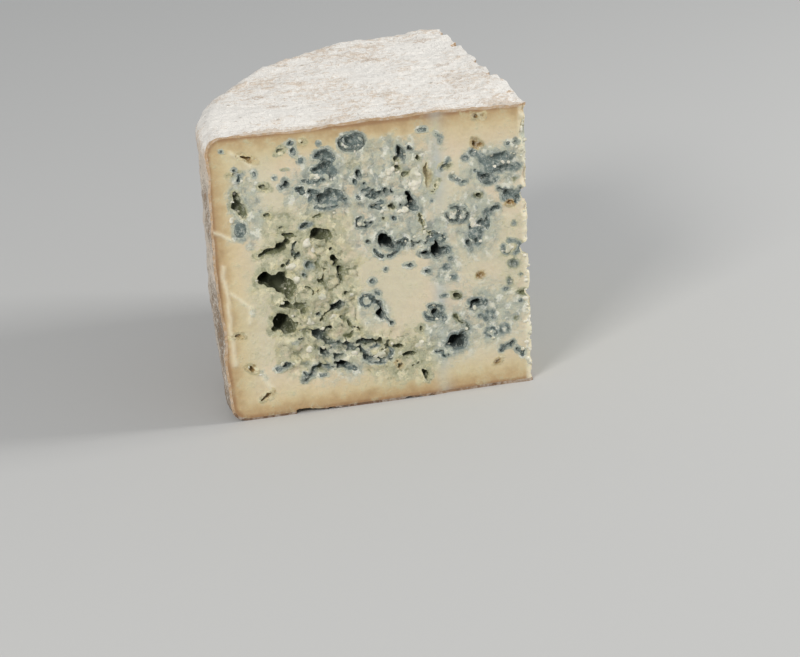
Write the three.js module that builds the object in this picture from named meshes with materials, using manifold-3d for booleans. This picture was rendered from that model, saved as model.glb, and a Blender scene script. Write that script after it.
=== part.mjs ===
// A quarter cut from a wheel of blue cheese, in millimetres, +Z up.
// While it is shaped, the wheel's axis stands at x = 0, y = 0 and is the wedge's tip edge. One cut
// face lies in the XZ plane and looks along -Y, the other lies in the YZ plane and looks along +X.
// At the end the wedge is centred on its own footprint.
import * as THREE from 'three';
import { mergeVertices } from 'three/addons/utils/BufferGeometryUtils.js';
import { ImprovedNoise } from 'three/addons/math/ImprovedNoise.js';
import Module from 'manifold-3d';

// The wheel.
const WHEEL_RADIUS = 100;
const WHEEL_HEIGHT = 90.5;
const BASE_LEAN = 3.9;
const SIDE_BULGE = 1;
const TOP_RIM_RADIUS = 5.5;
const BASE_RIM_RADIUS = 5;
const CROWN_RISE = 14;

// How finely the wheel and the knife cuts are faceted.
const WHEEL_SECTORS = 104;
const SIDE_ROWS = 13;
const RIM_STEPS = 4;
const CUT_COLUMNS = 16;
const CUT_ROWS = 14;
const TIP_CROWDING = 1.4;

// Relief of the rind, of the crown and of the knife cuts.
const RIND_LUMP = { height: 0.8, length: 19 };
const RIND_CRAG = { height: 0.5, length: 7 };
const CROWN_LUMP = { height: 0.55, length: 21 };
const CROWN_CRAG = { height: 0.3, length: 8 };
const KNIFE_WAVE = { height: 0.35, length: 27 };
const KNIFE_CRUMB = { height: 0.18, length: 6 };
const KNIFE_STEP = { at: 27, over: 5, height: 0.5 };
const TIP_BLUNT = { across: 0.4, inward: 1.6 };
const BLOCK_MARGIN = 6;

// Openings. Each one is a lumpy hollow: u is its distance from the tip edge along the cut, z its
// height, width and height are its mouth, depth is how far it goes in, and tilt turns it in the
// face, in degrees, anticlockwise as seen from outside.
const FRONT_OPENINGS = [
  { u: 83.6, z: 44.5, width: 7, height: 6.5, depth: 10, tilt: 0 },
  { u: 78.2, z: 41.8, width: 7.5, height: 9, depth: 6, tilt: 20 },
  { u: 78.9, z: 29.4, width: 7.5, height: 7.5, depth: 8, tilt: 30 },
  { u: 77.3, z: 35.2, width: 6, height: 3.4, depth: 4, tilt: -10 },
  { u: 46, z: 52.2, width: 8.6, height: 7.5, depth: 8, tilt: 15 },
  { u: 39.5, z: 50.4, width: 5, height: 2, depth: 2.5, tilt: 5 },
  { u: 30.2, z: 46.7, width: 10, height: 5.6, depth: 7, tilt: -8 },
  { u: 24.1, z: 16.5, width: 7, height: 5.6, depth: 7, tilt: 25 },
  { u: 60.8, z: 14, width: 5.6, height: 3, depth: 4.5, tilt: -12 },
  { u: 48.5, z: 28.5, width: 3.6, height: 4.2, depth: 5, tilt: 0 },
  { u: 51.6, z: 33.4, width: 6.5, height: 5, depth: 2.2, tilt: 15 },
  { u: 17.2, z: 27.8, width: 6.4, height: 4.4, depth: 6, tilt: 12 },
  { u: 62, z: 33.1, width: 5, height: 4, depth: 3, tilt: 40 },
  { u: 67.8, z: 23.9, width: 4.6, height: 8, depth: 3.6, tilt: -28 },
  { u: 66.6, z: 19, width: 3.2, height: 3, depth: 3.5, tilt: 0 },
  { u: 62.2, z: 48.5, width: 3.2, height: 9.5, depth: 6, tilt: -12 },
  { u: 65.5, z: 56.5, width: 7.5, height: 5.6, depth: 5, tilt: 10 },
  { u: 81, z: 53.5, width: 10.5, height: 3.6, depth: 4.6, tilt: 4 },
  { u: 75.5, z: 56.9, width: 6, height: 3, depth: 3.4, tilt: 18 },
  { u: 90.7, z: 68, width: 5.6, height: 10.5, depth: 4, tilt: 14 },
  { u: 64.2, z: 77.2, width: 8.5, height: 6, depth: 3.4, tilt: -15 },
  { u: 62.8, z: 67.5, width: 9.5, height: 4.4, depth: 3, tilt: 6 },
  { u: 55, z: 84.2, width: 7.6, height: 5, depth: 1.8, tilt: -6 },
  { u: 53.4, z: 73.8, width: 2.8, height: 3.6, depth: 3.4, tilt: 0 },
  { u: 47.5, z: 68, width: 10, height: 2.6, depth: 3.4, tilt: -8 },
  { u: 40.1, z: 79.2, width: 3.6, height: 6, depth: 3.6, tilt: 12 },
  { u: 32, z: 71, width: 3.2, height: 8, depth: 2.4, tilt: 5 },
  { u: 37.3, z: 63.3, width: 4, height: 6.6, depth: 6, tilt: 18 },
  { u: 42.8, z: 62.3, width: 4.4, height: 2.6, depth: 3, tilt: 0 },
  { u: 48.6, z: 63.2, width: 4.4, height: 3, depth: 2.2, tilt: 0 },
  { u: 52.5, z: 58.7, width: 5, height: 3.6, depth: 2.2, tilt: 10 },
  { u: 23.3, z: 57.6, width: 6.4, height: 5, depth: 2.4, tilt: 0 },
  { u: 14.2, z: 54, width: 3.4, height: 7.4, depth: 3.6, tilt: -18 },
  { u: 18, z: 48, width: 4.6, height: 4.4, depth: 2.4, tilt: 0 },
  { u: 8.6, z: 73.3, width: 8, height: 3, depth: 3.4, tilt: 10 },
  { u: 6, z: 70, width: 7.6, height: 2.6, depth: 3, tilt: 8 },
  { u: 12.8, z: 68, width: 6, height: 3.2, depth: 3, tilt: 0 },
  { u: 15.8, z: 78.3, width: 3.4, height: 3.8, depth: 2.4, tilt: 0 },
  { u: 5.2, z: 62, width: 6, height: 4.4, depth: 3.6, tilt: -10 },
  { u: 30.3, z: 26.2, width: 7, height: 4, depth: 2.4, tilt: -15 },
  { u: 14, z: 23.2, width: 5.6, height: 3.4, depth: 2.2, tilt: 0 },
  { u: 56, z: 21.7, width: 10.4, height: 3.6, depth: 4.4, tilt: 5 },
  { u: 43.2, z: 17.6, width: 3.2, height: 2.6, depth: 2.6, tilt: 0 },
  { u: 39.5, z: 14.3, width: 7.4, height: 2.6, depth: 3, tilt: 6 },
  { u: 43.3, z: 11.7, width: 3.6, height: 3.4, depth: 2.2, tilt: 0 },
  { u: 35.1, z: 7.4, width: 3.2, height: 5.2, depth: 3, tilt: 14 },
  { u: 71.6, z: 12, width: 5.6, height: 3, depth: 3, tilt: -25 },
  { u: 78.4, z: 16, width: 3.4, height: 3.2, depth: 2.6, tilt: 0 },
  { u: 89.8, z: 16.2, width: 3.4, height: 2.6, depth: 2.2, tilt: 20 },
  { u: 87.1, z: 82.8, width: 5.4, height: 2.4, depth: 2.4, tilt: -28 },
  { u: 83, z: 73.4, width: 4.2, height: 2.4, depth: 2.2, tilt: 10 },
];

// Bites that the knife tore out of the tip edge: they lie in the side cut and break its tip edge.
const TIP_BITES = [
  { u: 4, z: 43.2, width: 15, height: 5.6, depth: 3.4, tilt: 0 },
  { u: 3, z: 60.4, width: 12, height: 5.6, depth: 2.6, tilt: 0 },
  { u: 2.5, z: 29.6, width: 8, height: 3.4, depth: 2.2, tilt: 0 },
  { u: 2, z: 14, width: 7, height: 4.6, depth: 1.8, tilt: 0 },
];

// The other cut has openings of the same kinds, thrown by a seeded rule into the bands where the
// curds met, clear of the rind and of each other.
const SIDE_OPENING_COUNT = 40;
const SIDE_OPENING_SEED = 20593;
const SIDE_OPENING_WIDTH = { least: 3, most: 10 };
const SIDE_OPENING_MARGIN = 9;
const SIDE_OPENING_GAP = 0.56;
const BAND = { across: 11, up: 9.9, level: -0.9 };
const BAND_SWING = { across: 1.3, acrossLength: 13, up: 1.1, upLength: 15 };

const OPENING_INSET = 0.28;
const OPENING_LUMP = 0.42;
const LARGE_OPENING = 6.5;

const PASTE_COLOUR = '#d6c9a6';
const PASTE_ROUGHNESS = 0.55;

const wasm = await Module();
wasm.setup();
const perlin = new ImprovedNoise();

function relief(point, { height, length }) {
  return height * perlin.noise(point.x / length, point.y / length, point.z / length);
}

function smoothStep(low, high, value) {
  return THREE.MathUtils.smoothstep(value, low, high);
}

// A geometry with its seams merged, and each of its points moved by shape(point).
function moulded(geometry, shape) {
  geometry.deleteAttribute('normal');
  geometry.deleteAttribute('uv');
  const merged = mergeVertices(geometry);
  const position = merged.attributes.position;
  const point = new THREE.Vector3();
  for (let i = 0; i < position.count; i += 1) {
    point.fromBufferAttribute(position, i);
    shape(point);
    position.setXYZ(i, point.x, point.y, point.z);
  }
  return merged;
}

function toSolid(geometry) {
  const vertProperties = new Float32Array(geometry.attributes.position.array);
  const triVerts = new Uint32Array(geometry.index.array);
  return new wasm.Manifold(new wasm.Mesh({ numProp: 3, vertProperties, triVerts }));
}

function toGeometry(solid) {
  const mesh = solid.getMesh();
  const geometry = new THREE.BufferGeometry();
  geometry.setAttribute('position', new THREE.BufferAttribute(mesh.vertProperties, 3));
  geometry.setIndex(new THREE.BufferAttribute(mesh.triVerts, 1));
  return geometry;
}

function sideRadius(z) {
  const t = z / WHEEL_HEIGHT;
  return WHEEL_RADIUS - BASE_LEAN * (1 - t) + SIDE_BULGE * 4 * t * (1 - t);
}

function arc(profile, centreRadius, centreHeight, radius, from, to) {
  for (let step = 0; step <= RIM_STEPS; step += 1) {
    const angle = from + ((to - from) * step) / RIM_STEPS;
    const r = centreRadius + radius * Math.cos(angle);
    const z = centreHeight + radius * Math.sin(angle);
    profile.push(new THREE.Vector2(r, z));
  }
}

// The wheel's outer skin: a flat base, a round lower rim, a side that leans in towards the base,
// a round upper rim, and a low cone that the crown of the block trims to height.
function wheelSolid() {
  const lowest = sideRadius(BASE_RIM_RADIUS);
  const highest = sideRadius(WHEEL_HEIGHT - TOP_RIM_RADIUS);
  const rimTop = WHEEL_HEIGHT - TOP_RIM_RADIUS;
  const profile = [new THREE.Vector2(0, 0)];
  arc(profile, lowest - BASE_RIM_RADIUS, BASE_RIM_RADIUS, BASE_RIM_RADIUS, -Math.PI / 2, 0);
  for (let row = 1; row < SIDE_ROWS; row += 1) {
    const z = THREE.MathUtils.lerp(BASE_RIM_RADIUS, rimTop, row / SIDE_ROWS);
    profile.push(new THREE.Vector2(sideRadius(z), z));
  }
  arc(profile, highest - TOP_RIM_RADIUS, rimTop, TOP_RIM_RADIUS, 0, Math.PI * 0.46);
  profile.push(new THREE.Vector2(0, WHEEL_HEIGHT + CROWN_RISE));
  const lathe = new THREE.LatheGeometry(profile, WHEEL_SECTORS).rotateX(Math.PI / 2);
  return toSolid(moulded(lathe, (point) => {
    const radius = Math.hypot(point.x, point.y);
    if (radius < WHEEL_RADIUS / 2 || point.z < 0.01) {
      return;
    }
    const stretch = 1 + (relief(point, RIND_LUMP) + relief(point, RIND_CRAG)) / radius;
    point.x *= stretch;
    point.y *= stretch;
  }));
}

// The block that the two knife cuts and the crown leave: its front and right faces are the wavy
// cuts, its top is the crown, and its base, back and left faces lie outside the wheel. Its columns
// crowd towards the tip edge, so that the blunt tip is narrow.
function cutBlock() {
  const side = WHEEL_RADIUS + BLOCK_MARGIN;
  const tall = WHEEL_HEIGHT + BLOCK_MARGIN;
  const box = new THREE.BoxGeometry(side, side, tall, CUT_COLUMNS, CUT_COLUMNS, CUT_ROWS);
  box.translate(-side / 2, side / 2, WHEEL_HEIGHT - tall / 2);
  const edge = 0.01;
  return toSolid(moulded(box, (point) => {
    point.x = -side * (Math.max(0, -point.x) / side) ** TIP_CROWDING;
    point.y = side * (Math.max(0, point.y) / side) ** TIP_CROWDING;
    const start = point.clone();
    const front = start.y < edge;
    const right = start.x > -edge;
    if (front) {
      const u = -start.x;
      const step = KNIFE_STEP.height * (1 - smoothStep(KNIFE_STEP.at, KNIFE_STEP.at + KNIFE_STEP.over, u));
      point.y += step + relief(start, KNIFE_WAVE) + relief(start, KNIFE_CRUMB);
    }
    if (right) {
      point.x -= relief(start, KNIFE_WAVE) + relief(start, KNIFE_CRUMB);
    }
    if (front && right) {
      point.x -= TIP_BLUNT.across;
      point.y += TIP_BLUNT.inward;
    }
    if (start.z > WHEEL_HEIGHT - edge) {
      point.z += relief(start, CROWN_LUMP) + relief(start, CROWN_CRAG);
    }
  }));
}

// One lumpy hollow at a cut face. The turn is 0 for the front face and a quarter turn for the
// right face, and along is -1 or 1, the way that u runs in the face before that turn.
function openingSolid(opening, index, along, turn) {
  const large = opening.width > LARGE_OPENING;
  const ball = large ? new THREE.IcosahedronGeometry(1, 1) : new THREE.OctahedronGeometry(1, 1);
  const inset = opening.depth * OPENING_INSET;
  const reach = opening.depth - inset;
  const place = new THREE.Matrix4().makeRotationZ(turn);
  place.multiply(new THREE.Matrix4().makeTranslation(along * opening.u, inset, opening.z));
  place.multiply(new THREE.Matrix4().makeRotationY(-THREE.MathUtils.degToRad(opening.tilt)));
  place.multiply(new THREE.Matrix4().makeScale(opening.width / 2, reach, opening.height / 2));
  return toSolid(moulded(ball, (point) => {
    const lump = perlin.noise(point.x * 1.4 + index * 3.7, point.y * 1.4, point.z * 1.4 + turn * 5.1);
    point.multiplyScalar(1 + OPENING_LUMP * lump).applyMatrix4(place);
  }));
}

// A small repeatable random source: each call gives the next number from 0 up to 1.
function seededRandom(seed) {
  let state = seed;
  return () => {
    state = (state * 16807) % 2147483647;
    return (state - 1) / 2147483646;
  };
}

// How far a place in the side cut lies inside a wavy band of openings.
function bandLevel(u, z) {
  const across = Math.sin(u / BAND.across + BAND_SWING.across * Math.sin(z / BAND_SWING.acrossLength));
  const up = Math.sin(z / BAND.up + BAND_SWING.up * Math.sin(u / BAND_SWING.upLength));
  return across + up;
}

function sideOpenings() {
  const random = seededRandom(SIDE_OPENING_SEED);
  const farthest = WHEEL_RADIUS - 1.4 * SIDE_OPENING_MARGIN;
  const highest = WHEEL_HEIGHT - SIDE_OPENING_MARGIN;
  const placed = [];
  while (placed.length < SIDE_OPENING_COUNT) {
    const u = THREE.MathUtils.lerp(SIDE_OPENING_MARGIN / 2, farthest, random());
    const z = THREE.MathUtils.lerp(SIDE_OPENING_MARGIN, highest, random());
    const size = random() ** 1.6;
    const width = THREE.MathUtils.lerp(SIDE_OPENING_WIDTH.least, SIDE_OPENING_WIDTH.most, size);
    const height = width * THREE.MathUtils.lerp(0.45, 0.9, random());
    const depth = height * THREE.MathUtils.lerp(0.7, 1.3, random());
    const tilt = THREE.MathUtils.lerp(-35, 35, random());
    const clear = placed.every((other) => {
      const gap = SIDE_OPENING_GAP * (other.width + width);
      return Math.hypot(other.u - u, other.z - z) > gap;
    });
    if (bandLevel(u, z) > BAND.level && clear) {
      placed.push({ u, z, width, height, depth, tilt });
    }
  }
  return placed;
}

// The largest of the bodies that a cut leaves, without any crumb that it frees.
function largestBody(solid) {
  return solid.decompose().reduce((most, body) => (body.volume() > most.volume() ? body : most));
}

function wedgeGeometry() {
  const side = [...TIP_BITES, ...sideOpenings()];
  const hollows = [
    ...FRONT_OPENINGS.map((opening, index) => openingSolid(opening, index, -1, 0)),
    ...side.map((opening, index) => openingSolid(opening, index, 1, Math.PI / 2)),
  ];
  let wedge = wheelSolid().intersect(cutBlock());
  for (const hollow of hollows) {
    wedge = wedge.subtract(hollow);
  }
  return toGeometry(largestBody(wedge));
}

function centredOnFootprint(geometry) {
  geometry.computeBoundingBox();
  const centre = geometry.boundingBox.getCenter(new THREE.Vector3());
  return geometry.translate(-centre.x, -centre.y, -geometry.boundingBox.min.z);
}

const paste = new THREE.MeshStandardMaterial({
  color: PASTE_COLOUR,
  roughness: PASTE_ROUGHNESS,
  metalness: 0,
});
const wedge = new THREE.Mesh(centredOnFootprint(wedgeGeometry()), paste);
wedge.name = 'cheese_wedge';

const cheese = new THREE.Group();
cheese.add(wedge);

export default cheese;
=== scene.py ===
"""A quarter wedge of rinded blue cheese, standing on a plain pale floor."""

import logging
import math
import random
from dataclasses import dataclass
from enum import Enum
from typing import Callable, Iterator, Sequence

import bmesh
import bpy
import numpy as np
from mathutils import Matrix, Vector, noise
from mathutils.bvhtree import BVHTree


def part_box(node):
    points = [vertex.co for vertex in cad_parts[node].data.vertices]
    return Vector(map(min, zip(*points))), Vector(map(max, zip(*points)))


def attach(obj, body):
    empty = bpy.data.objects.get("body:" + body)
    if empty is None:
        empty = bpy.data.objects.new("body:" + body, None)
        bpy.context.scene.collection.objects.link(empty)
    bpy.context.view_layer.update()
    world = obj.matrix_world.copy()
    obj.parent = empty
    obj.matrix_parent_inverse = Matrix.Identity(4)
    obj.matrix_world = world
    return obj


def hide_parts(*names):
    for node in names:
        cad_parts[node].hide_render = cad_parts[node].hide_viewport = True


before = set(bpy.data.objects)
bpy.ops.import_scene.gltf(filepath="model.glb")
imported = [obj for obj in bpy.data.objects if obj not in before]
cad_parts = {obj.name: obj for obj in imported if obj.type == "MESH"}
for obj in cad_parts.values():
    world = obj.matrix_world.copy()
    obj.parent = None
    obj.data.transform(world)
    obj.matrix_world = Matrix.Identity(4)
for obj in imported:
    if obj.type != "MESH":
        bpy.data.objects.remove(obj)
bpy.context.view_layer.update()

log = logging.getLogger("cheese_wedge")

MM = 0.001
NODE = "cheese_wedge"
GLOW_WEIGHT = 0.12
Colour = tuple[float, float, float, float]
Socket = bpy.types.NodeSocket
Value = Socket | float | tuple
Array = np.ndarray
Triple = tuple[float, float, float]
Mesh = bpy.types.Mesh
Piece = bpy.types.Object
Material = bpy.types.Material
Shape = bmesh.types.BMesh
Layer = Triple  # height, length of one lump and shift of a layer of noise


# ---- Mesh helpers ----


def perlin(points: Array, length: float, shift: float = 0.0) -> Array:
    """Smooth noise between about -1 and 1.

    Args:
        points: Places in metres, one a row.
        length: Size of one lump in metres.
        shift: Moves the pattern, so that two patterns of one length differ.

    Returns:
        One value for each point.
    """
    scaled = (points / length + shift).tolist()
    return np.array([noise.noise(place) for place in scaled]) * 1.6


def layered(points: Array, layers: Sequence[Layer]) -> Array:
    """Noise of several sizes, laid over one another.

    Args:
        points: Places in metres, one a row.
        layers: The height, length and shift of each layer.

    Returns:
        One height for each point.
    """
    return sum(height * perlin(points, length, shift) for height, length, shift in layers)


def hump(value: Array, middle: float, width: float) -> Array:
    """1 at the middle, falling softly to 0 on both sides of it."""
    return np.exp(-(((value - middle) / width) ** 2))


def smooth_step(low: float, high: float, value: Array) -> Array:
    """Rises smoothly from 0 at low to 1 at high, or falls if low is above high."""
    t = np.clip((value - low) / (high - low), 0.0, 1.0)
    return t * t * (3.0 - 2.0 * t)


def turned(x: float, z: float, degrees: float) -> tuple[float, float]:
    """A place in a cut face, turned anticlockwise about its origin."""
    angle = math.radians(degrees)
    return x * math.cos(angle) - z * math.sin(angle), x * math.sin(angle) + z * math.cos(angle)


def read_points(mesh: Mesh) -> Array:
    """The places of a mesh's vertices, one a row."""
    flat = np.empty(len(mesh.vertices) * 3)
    mesh.vertices.foreach_get("co", flat)
    return flat.reshape(-1, 3)


def write_points(mesh: Mesh, points: Array) -> None:
    """Moves a mesh's vertices to the given places."""
    mesh.vertices.foreach_set("co", points.ravel())
    mesh.update()


def displace(piece: Piece, height: Callable[[Array], Array]) -> None:
    """Moves a piece's vertices along their normals.

    Args:
        piece: The object to change.
        height: Gives the way outwards, in metres, at places that are given one a row.
    """
    points, normals = read_points(piece.data), read_normals(piece.data)
    write_points(piece.data, points + normals * height(points)[:, None])


def read_normals(mesh: Mesh) -> Array:
    """The normals of a mesh's vertices, one a row."""
    flat = np.empty(len(mesh.vertices) * 3)
    mesh.vertices.foreach_get("normal", flat)
    return flat.reshape(-1, 3)


def read_facing(mesh: Mesh) -> Array:
    """The normals of a mesh's faces, one a row."""
    flat = np.empty(len(mesh.polygons) * 3)
    mesh.polygons.foreach_get("normal", flat)
    return flat.reshape(-1, 3)


def write_values(mesh: Mesh, name: str, values: Array, domain: str = "POINT") -> None:
    """Keeps one number for each vertex, or each face, under a name that a material can read."""
    layer = mesh.attributes.new(name, "FLOAT", domain)
    layer.data.foreach_set("value", values.astype(np.float32))


def to_object(bm: Shape, name: str) -> Piece:
    """Turns a finished bmesh into an object of the scene.

    Args:
        bm: The shape, in the frame's place. It is freed.
        name: Name of the object and of its mesh.

    Returns:
        The new object, at the origin.
    """
    mesh = bpy.data.meshes.new(name)
    bm.to_mesh(mesh)
    bm.free()
    piece = bpy.data.objects.new(name, mesh)
    bpy.context.scene.collection.objects.link(piece)
    return piece


def round_lump(subdivisions: int) -> Mesh:
    """A ball of radius 1 at the origin, to be added to other shapes.

    Args:
        subdivisions: How finely it is divided.

    Returns:
        Its mesh.
    """
    bm = bmesh.new()
    bmesh.ops.create_icosphere(bm, subdivisions=subdivisions, radius=1.0)
    ball = bpy.data.meshes.new("round_lump")
    bm.to_mesh(ball)
    bm.free()
    return ball


def add_lump(bm: Shape, ball: Mesh, sides: Sequence[Vector], centre: Vector) -> None:
    """Adds a stretched ball to a shape.

    Args:
        bm: The shape.
        ball: The ball of radius 1.
        sides: Its three half axes.
        centre: Its middle.
    """
    stretched = ball.copy()
    stretched.transform(Matrix.Translation(centre) @ Matrix(sides).transposed().to_4x4())
    bm.from_mesh(stretched)
    bpy.data.meshes.remove(stretched)


def settle(piece: Piece) -> None:
    """Makes the shape that a piece's modifiers give its own mesh.

    Args:
        piece: The object to change. Its modifiers are used up.
    """
    evaluated = piece.evaluated_get(bpy.context.evaluated_depsgraph_get())
    settled = bpy.data.meshes.new_from_object(evaluated)
    piece.modifiers.clear()
    old = piece.data
    piece.data = settled
    settled.name = piece.name
    bpy.data.meshes.remove(old)


def carve(piece: Piece, tool: Piece, operation: str) -> None:
    """Joins or cuts a piece with a tool.

    Args:
        piece: The object to change.
        tool: The closed shape to cut with. It stays as it is.
        operation: DIFFERENCE, INTERSECT or UNION.
    """
    cutter = piece.modifiers.new("carve", "BOOLEAN")
    cutter.operation = operation
    cutter.solver = "MANIFOLD"
    cutter.object = tool
    settle(piece)


def remesh(piece: Piece, voxel: float) -> None:
    """Melts a piece's overlapping lumps into one skin of even, small faces.

    Args:
        piece: The object to change.
        voxel: Size of the faces in metres.
    """
    skin = piece.modifiers.new("skin", "REMESH")
    skin.mode = "VOXEL"
    skin.voxel_size = voxel
    settle(piece)


def thin_out(piece: Piece, share: float) -> None:
    """Keeps only a share of a piece's faces, mostly where it bends.

    Args:
        piece: The object to change.
        share: The share to keep, from 0 to 1.
    """
    fewer = piece.modifiers.new("fewer", "DECIMATE")
    fewer.ratio = share
    settle(piece)


def drop_specks(piece: Piece, fewest: int) -> None:
    """Removes the loose bits that cuts leave behind.

    Args:
        piece: The object to change.
        fewest: The number of faces from which a bit is kept.
    """
    bm = bmesh.new()
    bm.from_mesh(piece.data)
    specks = []
    for first in bm.faces:
        if first.tag:
            continue
        first.tag = True
        bit = [first]
        for face in bit:
            near = {other for edge in face.edges for other in edge.link_faces if not other.tag}
            for other in near:
                other.tag = True
            bit.extend(near)
        if len(bit) < fewest:
            specks.extend(bit)
    bmesh.ops.delete(bm, geom=specks, context="FACES")
    bm.to_mesh(piece.data)
    bm.free()


def discard(piece: Piece) -> None:
    """Removes a tool object and its mesh."""
    mesh = piece.data
    bpy.data.objects.remove(piece)
    bpy.data.meshes.remove(mesh)


def shade_smooth(piece: Piece, crease: float) -> None:
    """Shades a piece smoothly, except over its sharpest edges.

    Args:
        piece: The object to change.
        crease: The bend in degrees from which an edge stays sharp.
    """
    piece.data.polygons.foreach_set("use_smooth", [True] * len(piece.data.polygons))
    piece.data.set_sharp_from_angle(angle=math.radians(crease))
    piece.data.update()


def hand_over(piece: Piece, material: Material) -> None:
    """Dresses a finished piece and puts it in the node's place.

    Args:
        piece: The object, at the origin.
        material: Its finish.
    """
    piece.data.materials.clear()
    piece.data.materials.append(material)
    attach(piece, "root")
    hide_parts(NODE)
    log.info("%s: %d faces", piece.name, len(piece.data.polygons))


# ---- The wheel and the two knife cuts ----


@dataclass(frozen=True)
class Wheel:
    """The whole wheel that the wedge was cut from. Its axis is the wedge's tip edge."""

    axis: Vector
    radius: float = 100 * MM
    height: float = 90.5 * MM
    base_lean: float = 3.9 * MM
    side_bulge: float = 1.0 * MM
    top_rim: float = 5.5 * MM
    base_rim: float = 5.0 * MM

    def side_radius(self, z: Array | float) -> Array | float:
        """How far the side stands from the axis at height z."""
        t = z / self.height
        return self.radius - self.base_lean * (1 - t) + self.side_bulge * 4 * t * (1 - t)

    def below_rind(self, points: Array) -> Array:
        """How deep points lie under the smooth outside of the wheel.

        Args:
            points: Places in metres, one a row.

        Returns:
            One depth for each point, in metres.
        """
        from_axis = np.hypot(points[:, 0] - self.axis.x, points[:, 1] - self.axis.y)
        side = self.side_radius(points[:, 2]) - from_axis
        depth = side
        for rim, level in ((self.top_rim, self.height - points[:, 2]), (self.base_rim, points[:, 2])):
            rounded = rim - np.hypot(rim - side, rim - level)
            corner = (side < rim) & (level < rim)
            depth = np.where(corner, np.minimum(depth, rounded), np.minimum(depth, level))
        return depth

    def outline(self, inset: float, step: float) -> list[tuple[float, float]]:
        """The profile of the wheel's right half, from the axis along the base, side and top.

        Args:
            inset: How far inside the outer skin the profile runs.
            step: Length of one stretch of the profile.

        Returns:
            Pairs of distance from the axis and height.
        """
        low_side = self.side_radius(self.base_rim)
        high_side = self.side_radius(self.height - self.top_rim)
        corners = (
            (low_side - self.base_rim, self.base_rim, self.base_rim - inset, -90),
            (high_side - self.top_rim, self.height - self.top_rim, self.top_rim - inset, 0),
        )
        base, top = [
            [
                (r + rim * math.cos(angle), z + rim * math.sin(angle))
                for angle in np.radians(np.linspace(start, start + 90, max(5, round(1.6 * rim / step))))
            ]
            for r, z, rim, start in corners
        ]
        rows = round((top[0][1] - base[-1][1]) / step)
        side = [
            (self.side_radius(z) - inset, z)
            for z in np.linspace(base[-1][1], top[0][1], rows + 1)[1:-1]
        ]
        rings = round(top[-1][0] / step)
        crown = [(r, top[-1][1]) for r in np.linspace(top[-1][0], 0.0, rings + 1)[1:]]
        return [(0.0, inset), *base, *side, *top, *crown]

    def solid(self, name: str, inset: float, step: float, sweep_steps: int) -> Piece:
        """The wheel, finely divided where the wedge lies and coarsely round the rest.

        Args:
            name: Name of the object.
            inset: How far inside the outer skin it stays.
            step: Length of one stretch of its profile.
            sweep_steps: How many stretches go round the wedge's part of it.

        Returns:
            The closed wheel.
        """
        fine, start, coarse_steps = math.radians(96), math.radians(87), 16
        turn = Matrix.Rotation(start, 3, "Z")
        bm = bmesh.new()
        verts = [bm.verts.new(turn @ Vector((r, 0, z))) for r, z in self.outline(inset, step)]
        ring = verts + [bm.edges.new(pair) for pair in zip(verts, verts[1:])]
        for angle, steps in ((fine, sweep_steps), (math.tau - fine, coarse_steps)):
            swept = bmesh.ops.spin(
                bm,
                geom=ring,
                cent=(0, 0, 0),
                axis=(0, 0, 1),
                angle=angle,
                steps=steps,
                use_merge=False,
                use_normal_flip=False,
                use_duplicate=False,
            )
            ring = swept["geom_last"]
        bmesh.ops.remove_doubles(bm, verts=bm.verts, dist=0.001 * MM)
        bmesh.ops.recalc_face_normals(bm, faces=bm.faces)
        bmesh.ops.translate(bm, verts=bm.verts, vec=self.axis)
        return to_object(bm, name)


class Cut(Enum):
    """The two knife cuts, each by its way to the right across it as seen from outside."""

    FRONT = (1, 0, 0)
    SIDE = (0, 1, 0)

    @property
    def right(self) -> Vector:
        """The way across the cut, to the right as seen from outside."""
        return Vector(self.value)

    @property
    def inward(self) -> Vector:
        """The way into the cheese."""
        return Vector((0, 0, 1)).cross(self.right)

    @property
    def from_tip(self) -> float:
        """1 where the tip edge is at the left of the cut, -1 where it is at the right."""
        return -1.0 if self is Cut.FRONT else 1.0

    def spread(self, points: Array, axis: Vector) -> tuple[Array, Array, Array]:
        """Points in the cut's own way: to the right, up and inward of the foot of the axis."""
        away = points - np.array(axis)
        return away @ np.array(self.right), points[:, 2], away @ np.array(self.inward)


# ---- Mould and openings ----
# Sizes in this section are in millimetres: u is the distance from the tip
# edge along the cut, z the height, and tilt turns anticlockwise as seen from outside, in degrees.


class Tone(Enum):
    """What coats an opening: how slate, how black and how ochre it is, and how well it covers."""

    OLIVE = (0.0, 0.35, 0.0, 1.0)
    SLATE = (1.0, 0.25, 0.0, 1.0)
    INK = (0.6, 1.0, 0.0, 1.0)
    MOSS = (0.1, 0.9, 0.0, 1.0)
    OCHRE = (0.0, 0.3, 1.0, 0.85)
    AMBER = (0.0, 0.0, 1.6, 1.0)
    PALE = (0.6, 0.0, 0.0, 0.35)
    TAN = (0.0, 0.0, 0.7, 0.45)
    MILD = (0.0, 0.0, 0.1, 0.35)
    WHITE = (0.15, 0.0, 0.0, 0.12)


@dataclass(frozen=True)
class Lump:
    """One rounded lump of an opening: its middle, its half sizes and the mould round it."""

    right: float
    z: float
    sunk: float
    across: float
    tall: float
    deep: float
    tilt: float
    halo: float
    tone: Tone
    hollow: bool = True


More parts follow.
